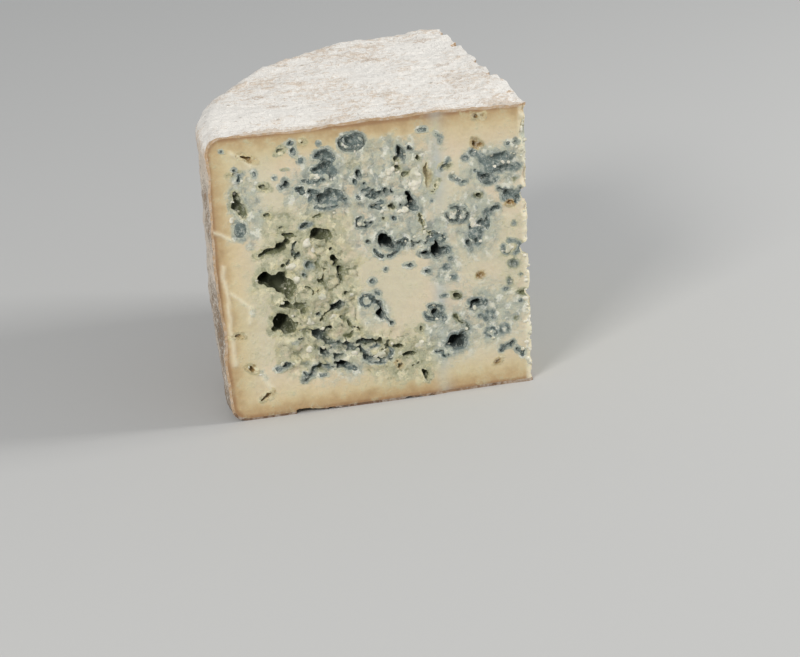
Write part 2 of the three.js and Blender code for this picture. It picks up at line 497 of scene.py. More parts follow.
@dataclass(frozen=True)
class Pocket:
    """A lumpy hollow, deepest under its upper left lip, whose floor slopes out to the lower right."""

    u: float
    z: float
    width: float
    height: float
    depth: float
    tone: Tone = Tone.INK
    tilt: float = 0.0

    def lumps(self, way: float, rng: random.Random) -> Iterator[Lump]:
        """The lumps of the pocket.

        Args:
            way: 1 where u runs to the right, -1 where it runs to the left.
            rng: Source of the pocket's irregular lips.

        Yields:
            Each lump.
        """
        small = min(self.width, self.height) < 2.0
        parts = [(-0.1, 0.1, 0.42, 0.3, 0.7), (0.2, -0.18, 0.33, 0.06, 0.4)]
        for _ in range(2 if small else 7):
            angle = rng.uniform(0, math.tau)
            reach = rng.uniform(0.24, 0.46)
            size = rng.uniform(0.08, 0.19)
            sunk, deep = rng.uniform(0.0, 0.15), rng.uniform(0.2, 0.45)
            parts.append((reach * math.cos(angle), reach * math.sin(angle), size, sunk, deep))
        for x, z, size, sunk, deep in parts:
            aside, above = turned(x * self.width, z * self.height, self.tilt)
            yield Lump(
                right=way * self.u + aside,
                z=self.z + above,
                sunk=sunk * self.depth,
                across=max(0.3, size * self.width),
                tall=max(0.3, size * self.height),
                deep=max(0.4, deep * self.depth),
                tilt=self.tilt + rng.uniform(-20, 20),
                halo=1.0 + 0.16 * (self.width + self.height) / 2,
                tone=self.tone,
            )


@dataclass(frozen=True)
class Ring:
    """A thin, broken groove round a curd granule."""

    u: float
    z: float
    width: float
    height: float
    tone: Tone = Tone.INK
    groove: float = 0.8
    depth: float = 0.9
    first: float = 0.0
    last: float = 360.0

    def lumps(self, way: float, rng: random.Random) -> Iterator[Lump]:
        """The lumps of the groove.

        Args:
            way: 1 where u runs to the right, -1 where it runs to the left.
            rng: Source of the groove's uneven width and depth.

        Yields:
            Each lump.
        """
        sweep = (self.last - self.first) / 360
        count = round(math.pi * (self.width + self.height) / 2 * sweep / (0.45 * self.groove))
        for angle in np.radians(np.linspace(self.first, self.last, max(3, count))):
            if noise.noise((math.cos(angle) * 1.4 + self.u, math.sin(angle) * 1.4, self.z)) < -0.16:
                continue
            size = self.groove / 2 * rng.uniform(0.6, 1.3)
            yield Lump(
                right=way * self.u + self.width / 2 * math.cos(angle) + rng.uniform(-0.15, 0.15),
                z=self.z + self.height / 2 * math.sin(angle) + rng.uniform(-0.15, 0.15),
                sunk=0.0,
                across=size,
                tall=size,
                deep=self.depth * rng.uniform(0.6, 1.2),
                tilt=0.0,
                halo=1.0,
                tone=self.tone,
            )


@dataclass(frozen=True)
class Crack:
    """A fine gap between curds, through two or more places (u, z)."""

    places: tuple[tuple[float, float], ...]
    width: float
    tone: Tone = Tone.INK
    depth: float = 1.6

    def lumps(self, way: float, rng: random.Random) -> Iterator[Lump]:
        """The lumps of the gap.

        Args:
            way: 1 where u runs to the right, -1 where it runs to the left.
            rng: Source of the gap's uneven width and depth.

        Yields:
            Each lump.
        """
        for start, end in zip(self.places, self.places[1:]):
            run, rise = end[0] - start[0], end[1] - start[1]
            count = max(3, round(math.hypot(run, rise) / (0.42 * self.width)))
            for t in np.linspace(0, 1, count):
                size = self.width / 2 * rng.uniform(0.45, 1.15)
                u, z = start[0] + t * run, start[1] + t * rise
                wander = (noise.noise((u * 0.8, z * 0.8, 1.0)), noise.noise((u * 0.8, z * 0.8, 9.0)))
                sway = 1.1 + 0.4 * self.width
                yield Lump(
                    right=way * u + wander[0] * sway + rng.uniform(-0.2, 0.2) * self.width,
                    z=z + wander[1] * sway + rng.uniform(-0.2, 0.2) * self.width,
                    sunk=0.1,
                    across=size,
                    tall=size,
                    deep=self.depth * rng.uniform(0.6, 1.1),
                    tilt=0.0,
                    halo=0.8 + 0.3 * self.width,
                    tone=self.tone,
                )


@dataclass(frozen=True)
class Stain:
    """A patch of colour in the cut face, with no opening."""

    u: float
    z: float
    width: float
    height: float
    tone: Tone = Tone.SLATE
    tilt: float = 0.0
    soft: float = 1.0

    def lumps(self, way: float, rng: random.Random) -> Iterator[Lump]:
        """The one lump of colour.

        Args:
            way: 1 where u runs to the right, -1 where it runs to the left.
            rng: Source of its soft edge's width.

        Yields:
            The lump.
        """
        yield Lump(
            right=way * self.u,
            z=self.z,
            sunk=0.0,
            across=self.width / 2,
            tall=self.height / 2,
            deep=2.0,
            tilt=self.tilt,
            halo=self.soft * rng.uniform(0.9, 1.1),
            tone=self.tone,
            hollow=False,
        )


@dataclass(frozen=True)
class Ridge:
    """A crease that the knife left standing, through two or more places (u, z), with a painted highlight
    along its crest.
    """

    places: tuple[tuple[float, float], ...]
    width: float = 0.6
    height: float = 0.4

    def mark(self, u: Array, z: Array) -> Array:
        """How near places are to the crest.

        Args:
            u: Their distances from the tip edge.
            z: Their heights.

        Returns:
            One value from 0 to 1 for each place.
        """
        nearest = np.full(len(u), np.inf)
        for start, end in zip(self.places, self.places[1:]):
            run, rise = end[0] - start[0], end[1] - start[1]
            along = (u - start[0]) * run + (z - start[1]) * rise
            t = np.clip(along / (run * run + rise * rise), 0, 1)
            nearest = np.minimum(nearest, np.hypot(u - start[0] - t * run, z - start[1] - t * rise))
        return hump(nearest, 0.0, self.width)


@dataclass(frozen=True)
class Tear:
    """An oval part of the front cut that crumbled under the knife instead of being sliced."""

    u: float
    z: float
    across: float
    up: float
    strength: float


Feature = Pocket | Ring | Crack | Stain

OLIVE, SLATE, INK, MOSS = Tone.OLIVE, Tone.SLATE, Tone.INK, Tone.MOSS
OCHRE, AMBER, TAN = Tone.OCHRE, Tone.AMBER, Tone.TAN
PALE, MILD, WHITE = Tone.PALE, Tone.MILD, Tone.WHITE

# Openings of the front cut, measured on the photograph. Their order sets the random draws.
FRONT_LEFT: tuple[Feature, ...] = (
    Pocket(83.6, 44.4, 5.8, 5.8, 11, OLIVE), Pocket(78.6, 42.4, 7.0, 9.5, 6, OLIVE, 25),
    Pocket(76.5, 38.3, 3, 3, 3, OLIVE), Pocket(79, 29.6, 7.4, 7.4, 9, OLIVE),
    Pocket(76.6, 28.8, 4, 5, 4, OLIVE), Pocket(77.3, 35.4, 5.8, 2.8, 4, OLIVE),
    Pocket(73, 34.5, 4, 2.4, 2, OLIVE), Pocket(72.3, 32.2, 2.5, 3, 1.5, OLIVE),
    Pocket(82, 53.0, 7.5, 2.4, 3.5, OLIVE, 12), Pocket(78.6, 54.2, 3.8, 3.0, 6, MOSS),
    Pocket(76.6, 55.4, 2.4, 1.8, 3, MOSS, 20), Pocket(75.8, 57.4, 5, 2.0, 2.6, OLIVE, -15),
    Pocket(78, 60.0, 2, 1.4, 1.5, OLIVE), Pocket(70.3, 59.8, 4.2, 2, 2.2, SLATE, 12),
    Pocket(66.6, 62.2, 3.6, 1.4, 1.5, OLIVE, 15), Pocket(66.5, 56.8, 5.5, 4.4, 5, MOSS, 10),
    Pocket(64, 56, 4, 4.5, 3.5, OLIVE), Crack(((63.4, 51.5), (62.4, 48.6)), 2.2, MOSS, 5),
    Crack(((62.4, 48.6), (61.4, 44.6)), 1.7, MOSS, 5),
    Crack(((61.4, 44.6), (60.5, 41.2)), 0.9, MOSS, 3), Ring(71.8, 52.8, 6, 5, INK, 0.9, 1.4, 60, 250),
    Crack(((77.8, 48.3), (75.6, 50)), 1.3, INK, 2.4),
    Crack(((74.6, 50.6), (72.6, 51.2)), 1.3, INK, 2.0), Pocket(70.2, 47.2, 3, 3.2, 1.6, SLATE),
    Pocket(71.6, 44.2, 1.6, 2.0, 1.6, SLATE), Pocket(66.6, 41.6, 3.4, 1.4, 1.6, MOSS, -25),
    Pocket(62, 33.1, 4.4, 2.6, 4, INK, 20), Pocket(60.6, 34.2, 2.6, 1.4, 2, INK, -20),
    Pocket(68, 31.2, 2.2, 1.4, 2), Pocket(68, 24.8, 4.2, 5.0, 3, INK, 30),
    Crack(((66.3, 25.2), (64.6, 27.3)), 1.4, INK, 2.6), Pocket(66.6, 19, 2.8, 3.0, 3.5),
    Pocket(74, 24.1, 2, 1.2, 1.6), Stain(75.5, 22.9, 2.4, 1.4), Pocket(58.9, 36.9, 1.9, 1.7, 1.6, MOSS),
    Pocket(78.5, 16.1, 3.2, 2.2, 2.4, INK, 30), Stain(81.2, 15.3, 2.2, 1.6),
    Stain(72.6, 15.8, 2.6, 1.6, PALE), Pocket(67.6, 14.2, 3.2, 2.2, 2.4, MOSS),
    Pocket(73.2, 11.2, 2.2, 1.8, 1.8, INK, 30), Pocket(70.6, 12.2, 3.0, 1.6, 1.8, INK, 15),
    Stain(67.3, 11.4, 2.4, 1.2), Pocket(60.9, 14.2, 4.6, 2.8, 5),
    Pocket(58.3, 12.5, 3.4, 1.6, 1.2, SLATE), Pocket(62, 17.2, 3, 1.2, 1.6),
    Pocket(58.9, 20.4, 4, 1.8, 2.5, INK, -8), Pocket(55, 20.8, 5.0, 1.8, 3),
    Pocket(52, 20.6, 3, 2.0, 3), Pocket(58.6, 19, 2, 2.0, 2), Pocket(64.2, 20, 2, 1.4, 2),
    Pocket(55.9, 25.2, 1.4, 3, 2, MOSS, 20), Crack(((60.5, 21.8), (57, 24)), 1.0, OLIVE),
    Crack(((68.4, 23.6), (65.6, 21.6), (63.0, 20.8), (60.0, 20.6)), 1.5, INK, 2.2),
    Crack(((66.6, 19.0), (63.6, 16.8), (61.4, 14.8)), 1.3, INK, 2.2),
    Crack(((57.6, 19.2), (54.6, 17.6), (53.2, 15.4)), 1.2, INK, 2.0),
    Crack(((54.0, 20.8), (49.4, 20.4), (46.6, 18.2), (43.0, 17.6)), 1.2, MOSS, 2.0),
    Crack(((72.8, 12.0), (70.2, 14.4), (67.6, 14.6), (65.0, 13.4)), 1.2, SLATE, 1.8),
    Crack(((68.0, 28.8), (66.0, 30.6), (64.2, 32.6)), 0.9, MOSS, 1.6),
    Crack(((73.6, 26.8), (70.8, 26.4), (69.4, 25.0)), 0.9, MOSS, 1.6),
    Crack(((71.6, 40.6), (69.2, 38.8), (66.8, 38.4)), 0.8, OLIVE, 1.4),
    Crack(((67.0, 47.4), (65.4, 45.0), (65.8, 42.6)), 0.8, OLIVE, 1.4),
    Crack(((60.4, 29.6), (58.4, 27.2), (57.6, 25.2)), 0.8, OLIVE, 1.4),
    Stain(61.5, 17.5, 17, 11, PALE, 0, 4), Crack(((94, 78.5), (89.5, 78.4)), 0.6, TAN, 0.5),
    Pocket(91.4, 72, 2.6, 3, 2.6, MOSS), Pocket(90.8, 68.4, 4.2, 4.2, 3, MOSS, 15),
    Pocket(89.6, 66.3, 3, 3.6, 2.4, OLIVE), Stain(90.6, 61.0, 3.0, 4.0, SLATE, 0, 2.2),
    Crack(((91.8, 79.8), (89.6, 76.4)), 0.8, SLATE, 0.8), Stain(89.4, 78.5, 1.6, 1.0),
    Stain(85.4, 77.9, 1.0, 1.4), Pocket(87.2, 83, 5, 1.6, 2, OCHRE, -18),
    Stain(95, 86, 1.0, 1.0, SLATE, 0, 0.5), Pocket(83, 73.5, 3.6, 1.8, 1.6, OLIVE, -15),
    Pocket(82.3, 64.5, 3.0, 1.4, 1.6, OLIVE, -20), Stain(87.5, 55.5, 3, 2, PALE),
    Stain(79.2, 76, 1.2, 1.2, SLATE, 0, 0.6), Stain(76, 78.4, 2.6, 0.6, OLIVE, 0, 0.4),
    Stain(70.9, 80.3, 1.8, 1.8, SLATE, 0, 0.8), Pocket(77.0, 84.2, 3, 1.3, 1.2, OLIVE, 20),
    Pocket(73.9, 86, 2, 1.3, 1.2, SLATE, 20), Pocket(73, 83.6, 1.4, 2, 1.2, SLATE),
    Pocket(70.1, 85.9, 1.6, 1.2, 1, OCHRE), Stain(65.2, 85, 1.2, 1.0, SLATE, 0, 0.6),
    Pocket(93.3, 27.6, 3.4, 1.4, 1.2, OCHRE), Pocket(89.6, 16.4, 2.8, 1.8, 1.6, OCHRE, -25),
    Crack(((87.4, 5.6), (83.6, 8.6)), 0.9, OCHRE), Crack(((86.6, 14.8), (85.2, 12.2)), 0.5, PALE, 0.5),
    Stain(88.3, 34.2, 1.4, 1.6, PALE), Stain(98.6, 21, 1.2, 1.2, PALE),
    Stain(99.5, 72.5, 0.9, 0.9, SLATE, 0, 0.4),
)
FRONT_FOOT: tuple[Feature, ...] = (
    Pocket(53, 15, 3.2, 2, 2), Crack(((53, 15), (45, 13.4)), 0.7),
    Ring(49.6, 15.8, 8.4, 5.6, SLATE, 0.9), Pocket(47.6, 17.2, 3.4, 1.2, 1.2, OLIVE),
    Pocket(43, 17.5, 3, 1.8, 2.2, MOSS), Pocket(39.8, 14.6, 6.4, 1.6, 2.6, MOSS, 8),
    Pocket(43.2, 11.6, 3.2, 3.2, 1.6, OCHRE), Pocket(38.2, 11, 3, 1.4, 1.4, MOSS, 30),
    Pocket(35.1, 7.8, 2.4, 4.2, 3, MOSS, 20), Stain(44.5, 7.6, 5, 0.9, TAN),
    Crack(((31.5, 14.5), (27.5, 12.4)), 1.0, SLATE), Pocket(24.4, 16.4, 5.6, 4.8, 7),
    Pocket(27.2, 15.5, 2.4, 1.6, 2), Pocket(22.4, 18.4, 2.0, 2.2, 2, INK, -30),
    Pocket(17.6, 28.2, 4, 2.4, 5), Pocket(19, 26.8, 1.8, 1.6, 3),
    Pocket(14.4, 27.4, 1.4, 2.4, 1.4, SLATE), Pocket(31.2, 26.8, 3, 2.8, 3),
    Ring(31.5, 27, 5.8, 4.4, SLATE, 0.9), Crack(((30, 26), (27.5, 24.5)), 1.4, SLATE),
    Pocket(24, 31.2, 3, 1.8, 2.2, MOSS, -20), Stain(27.8, 31.8, 2, 0.9),
    Pocket(24.4, 24.3, 1.4, 1.6, 1.4, OLIVE), Crack(((24.5, 24.5), (20.8, 20)), 0.9, MOSS),
    Pocket(16.4, 23.6, 1.5, 1.3, 1.2), Pocket(14.6, 22.2, 1.4, 1.4, 1.2),
    Pocket(12.2, 22.4, 1.4, 1.2, 1.2), Pocket(12.2, 24.2, 1.3, 1.3, 1.2),
    Pocket(14, 24.3, 1.3, 1.3, 1.2), Ring(13.2, 17.8, 4, 2.6, SLATE, 0.7),
    Ring(8.9, 18.2, 2.6, 2.8, SLATE, 0.6), Crack(((6.4, 14.6), (7, 12.8)), 0.8),
    Crack(((8.2, 13), (8.6, 11.8)), 0.8), Crack(((9.8, 12.6), (10, 11)), 0.8),
    Crack(((4.8, 11), (3.2, 8.6)), 1.0, SLATE), Pocket(11.2, 8, 2.4, 1.2, 1.6, OCHRE, 35),
    Ring(5.8, 44.6, 5.4, 4.4, SLATE, 1.1), Pocket(5.4, 39.2, 2.6, 2.2, 1.6),
    Pocket(6.7, 33.4, 1.2, 2, 1.4), Pocket(7.6, 31.2, 2, 1.0, 1),
    Pocket(2.4, 29.4, 3.4, 1.6, 1.6, OLIVE), Stain(3.3, 26.7, 1.2, 1.2, INK, 0, 0.5),
    Stain(3.1, 35.4, 1.0, 1.0, SLATE, 0, 0.5), Pocket(4.9, 21.3, 1.3, 1.1, 0.9, OLIVE),
    Pocket(16, 36.8, 2.4, 1.8, 1.4, OCHRE, 20),
)
FRONT_MIDDLE: tuple[Feature, ...] = (
    Pocket(46.4, 52.6, 5, 5.2, 9), Pocket(44.2, 50.6, 3.6, 3.2, 5), Pocket(42, 50.6, 4, 1.6, 2, SLATE),
    Pocket(51.4, 52.4, 1.7, 1.7, 1.8), Ring(45.5, 50.2, 8, 6.4, SLATE, 0.9, 1.0, 190, 350),
    Crack(((42, 50.4), (39.4, 50.8)), 1.3, SLATE), Crack(((38.4, 50.6), (35.6, 50.4)), 1.3),
    Crack(((34, 50.6), (31, 51.5)), 1.2), Pocket(30, 47, 4.2, 5, 7), Pocket(33.5, 46.5, 3.2, 1.9, 3),
    Pocket(27, 46.4, 3, 2.4, 2.6, SLATE), Pocket(38.9, 43.4, 2.4, 1.0, 1, SLATE),
    Pocket(33, 40.6, 2, 1.2, 1, SLATE), Pocket(26.8, 40.8, 2.4, 1.6, 1.4, SLATE),
    Pocket(19.4, 47.4, 1.6, 3, 2), Pocket(16.6, 48, 2.2, 3, 1.8, SLATE),
    Pocket(24.5, 37.3, 2, 1.6, 1.2, SLATE), Pocket(25.4, 43.4, 1.4, 1.2, 1.2, SLATE),
    Stain(46.2, 42.9, 1.3, 1.3, SLATE, 0, 0.6), Pocket(50.7, 39.6, 1.6, 1.4, 1.2, SLATE),
    Pocket(48.4, 28.9, 2.6, 3.6, 5), Pocket(48.6, 31.8, 1.6, 2.2, 2),
    Ring(52.5, 33.6, 4, 3.4, SLATE, 0.8), Ring(50, 34.4, 3, 3, SLATE, 0.8),
    Crack(((47, 27), (44.8, 25.2)), 0.6, SLATE), Stain(37.2, 22.2, 1.5, 1.0, OLIVE, 0, 0.5),
    Pocket(35.8, 22.2, 1.3, 1.8, 1, OLIVE), Pocket(53.3, 73.9, 1.8, 3.2, 3),
    Pocket(54.6, 71.6, 1.2, 1.8, 1.4, SLATE), Crack(((52.2, 70.3), (50.1, 68.6), (47.5, 67.4)), 1.5),
    Crack(((47.5, 67.4), (44.6, 68), (42.5, 67.1)), 1.4),
    Crack(((50.4, 66.6), (48.4, 66.0)), 1.0, SLATE), Pocket(40.2, 79.2, 2.6, 5, 3, INK, 12),
    Pocket(41.6, 77.4, 2.2, 2.2, 2, MOSS), Crack(((37.6, 81), (37.2, 79)), 0.9),
    Pocket(34.9, 77, 1.9, 2.1, 2, MOSS), Pocket(32, 71, 2.4, 7.0, 2.4, TAN),
    Pocket(39, 72.2, 3, 1.8, 2, OLIVE, 25), Pocket(41, 74.6, 2.6, 1.6, 2, OLIVE, -20),
    Pocket(37.5, 63.9, 3, 3.6, 6), Pocket(38.4, 66.2, 1.6, 1.6, 3), Crack(((40.8, 62), (37, 63)), 1.2),
    Pocket(36.6, 61.4, 3, 1.8, 2, SLATE), Pocket(43.4, 62.4, 2.8, 1.6, 2.6, MOSS),
    Pocket(48.4, 63.2, 3.6, 1.8, 1.8, SLATE), Stain(47.0, 64.4, 2.4, 1.6),
    Ring(52.4, 58.6, 4.8, 3.2, INK, 0.9, 1.2), Pocket(51.6, 58.4, 1.8, 1.2, 1.4),
    Pocket(45.6, 59, 2.4, 1.6, 1.2, OLIVE), Pocket(42.8, 58.8, 1.5, 1.5, 1.2, SLATE),
    Crack(((35.2, 59.7), (34.2, 55.2), (33.5, 54), (31, 52)), 0.7, OLIVE),
    Ring(31.0, 51.5, 2.6, 2.6, SLATE, 0.7), Ring(28.6, 50.4, 2.6, 2.2, SLATE, 0.7),
    Ring(24, 57.6, 4.4, 4.6, INK, 1.1, 1.6), Ring(21.2, 57, 3.2, 4.4, INK, 0.9, 1.2),
    Crack(((28.5, 69), (30.7, 65.6)), 0.6, OLIVE, 0.8), Pocket(26, 73.2, 2.8, 1.8, 1.6, MOSS, 10),
    Crack(((27, 72.6), (24.6, 75)), 0.8, SLATE, 0.8), Pocket(24.2, 69.4, 1.1, 1.1, 0.9),
    Pocket(22.3, 68.2, 1.0, 1.0, 0.9, SLATE), Pocket(20.3, 67.4, 1.8, 0.9, 0.9, SLATE),
    Stain(33, 85.5, 2.7, 1.4, SLATE, 0, 0.8), Crack(((28.8, 83.6), (27, 80.5)), 0.6, SLATE, 0.5),
    Stain(30.8, 62.8, 1.2, 1.0, SLATE, 0, 0.5), Stain(49.8, 82.6, 2.6, 1.4, PALE),
    Stain(44.5, 83.4, 2.6, 2.4, PALE, 0, 2.4),
)
FRONT_CROWN: tuple[Feature, ...] = (
    Pocket(54.9, 84.2, 6.2, 4.2, 1.6, SLATE, -12), Ring(55, 84.2, 7.6, 5.2, INK, 0.8),
    Pocket(65, 81.6, 4, 2.2, 2, SLATE, 20), Pocket(62.6, 80.6, 4, 4.2, 1.8, SLATE),
    Pocket(63, 77, 6, 4, 2.6, SLATE, -10), Pocket(66, 76.6, 3.4, 2, 2.6, SLATE),
    Crack(((62.5, 75.5), (61.6, 73.4)), 1.6), Pocket(75.8, 73.8, 1.9, 2.4, 2),
    Pocket(77.2, 72.9, 1.4, 1.2, 1.2, SLATE), Crack(((72.5, 71.6), (68.6, 70), (63, 69.2)), 1.5, SLATE),
    Crack(((70.5, 73.9), (64, 72.8)), 0.9, SLATE, 0.9), Pocket(62.8, 67.6, 8, 3.6, 3, SLATE, 6),
    Pocket(65.2, 68, 2.6, 2.0, 3.4), Ring(63.6, 67.2, 10.4, 5.8, SLATE, 0.8),
    Crack(((59, 67.2), (57, 66.8)), 1.2), Pocket(53.8, 66.6, 1.3, 1.2, 1.1, SLATE),
    Pocket(16.4, 78.6, 1.9, 3.2, 2.4, OCHRE, 10), Pocket(14.6, 78.4, 1.3, 1.2, 1.2, OCHRE),
    Pocket(17, 76, 2.4, 2.2, 1.2, SLATE), Pocket(19.4, 74.6, 1.8, 1.6, 1.0, SLATE),
    Pocket(8.6, 73.8, 6.8, 2.2, 2.2, SLATE, -8), Ring(8.2, 73.8, 7.8, 3.0, INK, 0.6, 0.8),
    Pocket(6, 70.2, 6.2, 1.7, 2.2, SLATE, -4), Ring(6.2, 70.2, 7.2, 2.6, INK, 0.6, 0.8),
    Pocket(12.8, 67.8, 4.2, 2.2, 2.4, INK, -10), Ring(12.4, 68.4, 6.0, 5.0, SLATE, 0.7, 0.9, 150, 330),
    Stain(11.4, 71.2, 4.6, 4.4, SLATE, 0, 0.9), Stain(14.4, 74.0, 2.4, 4.4, SLATE, 30, 0.8),
    Crack(((16.2, 70.5), (15, 67.5), (12.4, 66.4)), 0.6), Stain(6.2, 77.8, 1.2, 1.4, SLATE, 0, 0.7),
    Pocket(3.4, 78.0, 2.4, 1.0, 0.9), Pocket(4.4, 66.5, 2.0, 0.9, 0.8, OLIVE, 10),
    Pocket(15.8, 87.3, 1.8, 1.4, 1.6, OCHRE), Crack(((15.3, 86.9), (13.2, 88.4)), 0.6, OCHRE, 0.8),
    Pocket(15.9, 62.5, 2.4, 2.0, 2.4, MOSS), Crack(((9, 63.2), (6.8, 62.7)), 1.0),
    Pocket(6.2, 62.4, 3.6, 1.4, 2, INK, 12), Crack(((3, 63), (4.8, 60.4)), 0.9),
    Crack(((2.0, 62.4), (3.6, 59.4)), 0.9, SLATE), Pocket(5.8, 58.9, 2.6, 1.8, 2, AMBER),
    Stain(5.8, 61.0, 5.4, 4.0, SLATE, 0, 1.2), Crack(((9.6, 58.4), (13.2, 57)), 1.1),
    Pocket(13.2, 56.6, 2.2, 2.2, 1.6), Pocket(15.4, 53.4, 2.2, 3.4, 2),
    Pocket(13.4, 53.8, 1.6, 4.4, 1.4, SLATE, -10), Pocket(18.6, 52.4, 1.0, 2.4, 1.4, SLATE),
    Stain(4.9, 52.2, 1.5, 1.5, SLATE, 0, 0.5), Stain(17.2, 50.4, 4.8, 4.0, SLATE, 0, 1.2),
)
FRONT_TINTS: tuple[Feature, ...] = (
    Stain(54.6, 77.2, 5.2, 3.6, TAN, 0, 1.4), Stain(60, 64, 22, 3, PALE, 0, 3),
    Stain(76, 46, 16, 22, MILD, 0, 4), Stain(66, 40, 16, 34, MILD, 0, 4),
    Stain(66, 20, 26, 14, MILD, 0, 3), Stain(42, 14, 18, 12, MILD, 0, 4),
    Stain(70, 60, 22, 10, MILD, 0, 4), Stain(60, 72, 26, 14, PALE, 10, 4),
    Stain(44, 70, 22, 22, PALE, 0, 4), Stain(42, 54, 26, 9, PALE, 0, 4),
    Stain(10, 71, 18, 11, PALE, 0, 3), Stain(17, 54, 11, 18, PALE, 10, 4),
    Stain(14, 24, 18, 14, PALE, 20, 4), Stain(28, 17, 16, 10, PALE, 0, 4),
    Stain(71, 46, 5, 6, PALE, 10, 3), Stain(88, 68, 8, 18, PALE, 10, 3),
    Stain(5, 42, 8, 22, WHITE, 0, 3), Stain(27, 42, 8, 12, PALE, 10, 3),
    Stain(51, 31, 7, 10, PALE, 0, 3),
)
FRONT_RIDGES: tuple[Ridge, ...] = (
    Ridge(((99.0, 61.2), (96.4, 60.2), (94.0, 58.1)), 0.6, 0.4),
    Ridge(((96.6, 50.0), (95.5, 36.5), (95.2, 30.2), (94.8, 18.5)), 0.7, 0.6),
    Ridge(((92.1, 85.4), (89.5, 83.4), (86.0, 80.1)), 0.5, 0.4),
    Ridge(((94.8, 41.7), (91.4, 38.2), (88.6, 36.0), (89.3, 31.3)), 0.6, 0.4),
    Ridge(((85.9, 13.4), (84.6, 11.0), (83.6, 8.7)), 0.9, 0.7),
)
FRONT_TEARS: tuple[Tear, ...] = (
    Tear(68, 33, 17, 27, 1.0), Tear(47, 69, 17, 14, 0.65), Tear(47, 16, 18, 8, 0.75),
    Tear(22, 20, 14, 12, 0.45), Tear(13, 58, 10, 18, 0.4), Tear(34, 50, 14, 6, 0.45),
)
TIP_BITES: tuple[Feature, ...] = (
    Pocket(4, 43.2, 15, 5.8, 3.6, WHITE), Pocket(3, 60.6, 12, 5.0, 2.6, WHITE),
    Pocket(2.5, 29.0, 8, 3.0, 1.8, WHITE), Pocket(2, 36.6, 9, 2.0, 1.5, WHITE),
    Pocket(2, 14, 7, 3.0, 1.0, WHITE),
)
BASE_CHIPS: tuple[Feature, ...] = (
    Pocket(62, -0.9, 34, 3.2, 7, WHITE), Pocket(36, -1.2, 14, 2.8, 4, WHITE),
)
SIDE_CHIPS: tuple[Feature, ...] = (
    Pocket(13.5, 90.2, 4.4, 2.2, 3, WHITE), Pocket(34, 90.6, 5, 2.4, 2.4, WHITE),
    Pocket(50, 90.8, 6, 2.2, 2, WHITE), Pocket(73, 90.4, 6, 3.2, 3, WHITE),
    Pocket(88, 90.6, 4, 2.6, 2, WHITE), Pocket(30, -0.9, 9, 2.6, 3, WHITE),
    Pocket(62, -0.9, 14, 2.8, 3, WHITE),
)
# The u, z, width, height and tilt of each pale curd.
CURDS: tuple[tuple[float, float, float, float, float], ...] = (
    (17.2, 53.3, 2.6, 5.0, 25), (43.1, 73.9, 3.2, 2.6, -20), (41.4, 72.8, 1.8, 1.8, 0),
    (36.3, 69.7, 5.6, 6.8, 10), (6.4, 44.3, 2.6, 2.4, 0), (24.2, 57.2, 2.0, 2.2, 0),
    (21.4, 56.4, 1.6, 2.2, 0), (92.6, 64.8, 2.0, 2.6, 0), (67, 74.4, 3.4, 1.6, 15),
    (62.4, 73.2, 2.0, 1.4, 0), (40.4, 61.4, 3.0, 2.4, 0), (33.6, 53.6, 2.6, 2.0, -25),
    (70.8, 54.4, 3.4, 2.6, 0), (68.6, 52.0, 3.0, 2.4, 20), (75.4, 47.4, 3.4, 2.6, 0),
    (74.2, 42.8, 2.4, 2.6, 0), (66.6, 36.8, 3.0, 2.4, 0), (70.4, 29.0, 2.8, 2.4, 0),
    (63.4, 30.0, 3.4, 2.2, 15), (71.6, 20.6, 3.0, 2.2, 0), (56.6, 17.4, 3.4, 2.4, 0),
    (50.2, 15.6, 4.2, 2.6, 0), (36.4, 17.2, 3.4, 2.4, 0), (15.6, 29.8, 2.2, 1.6, 0),
    (31.6, 29.2, 1.8, 1.4, 0),
)


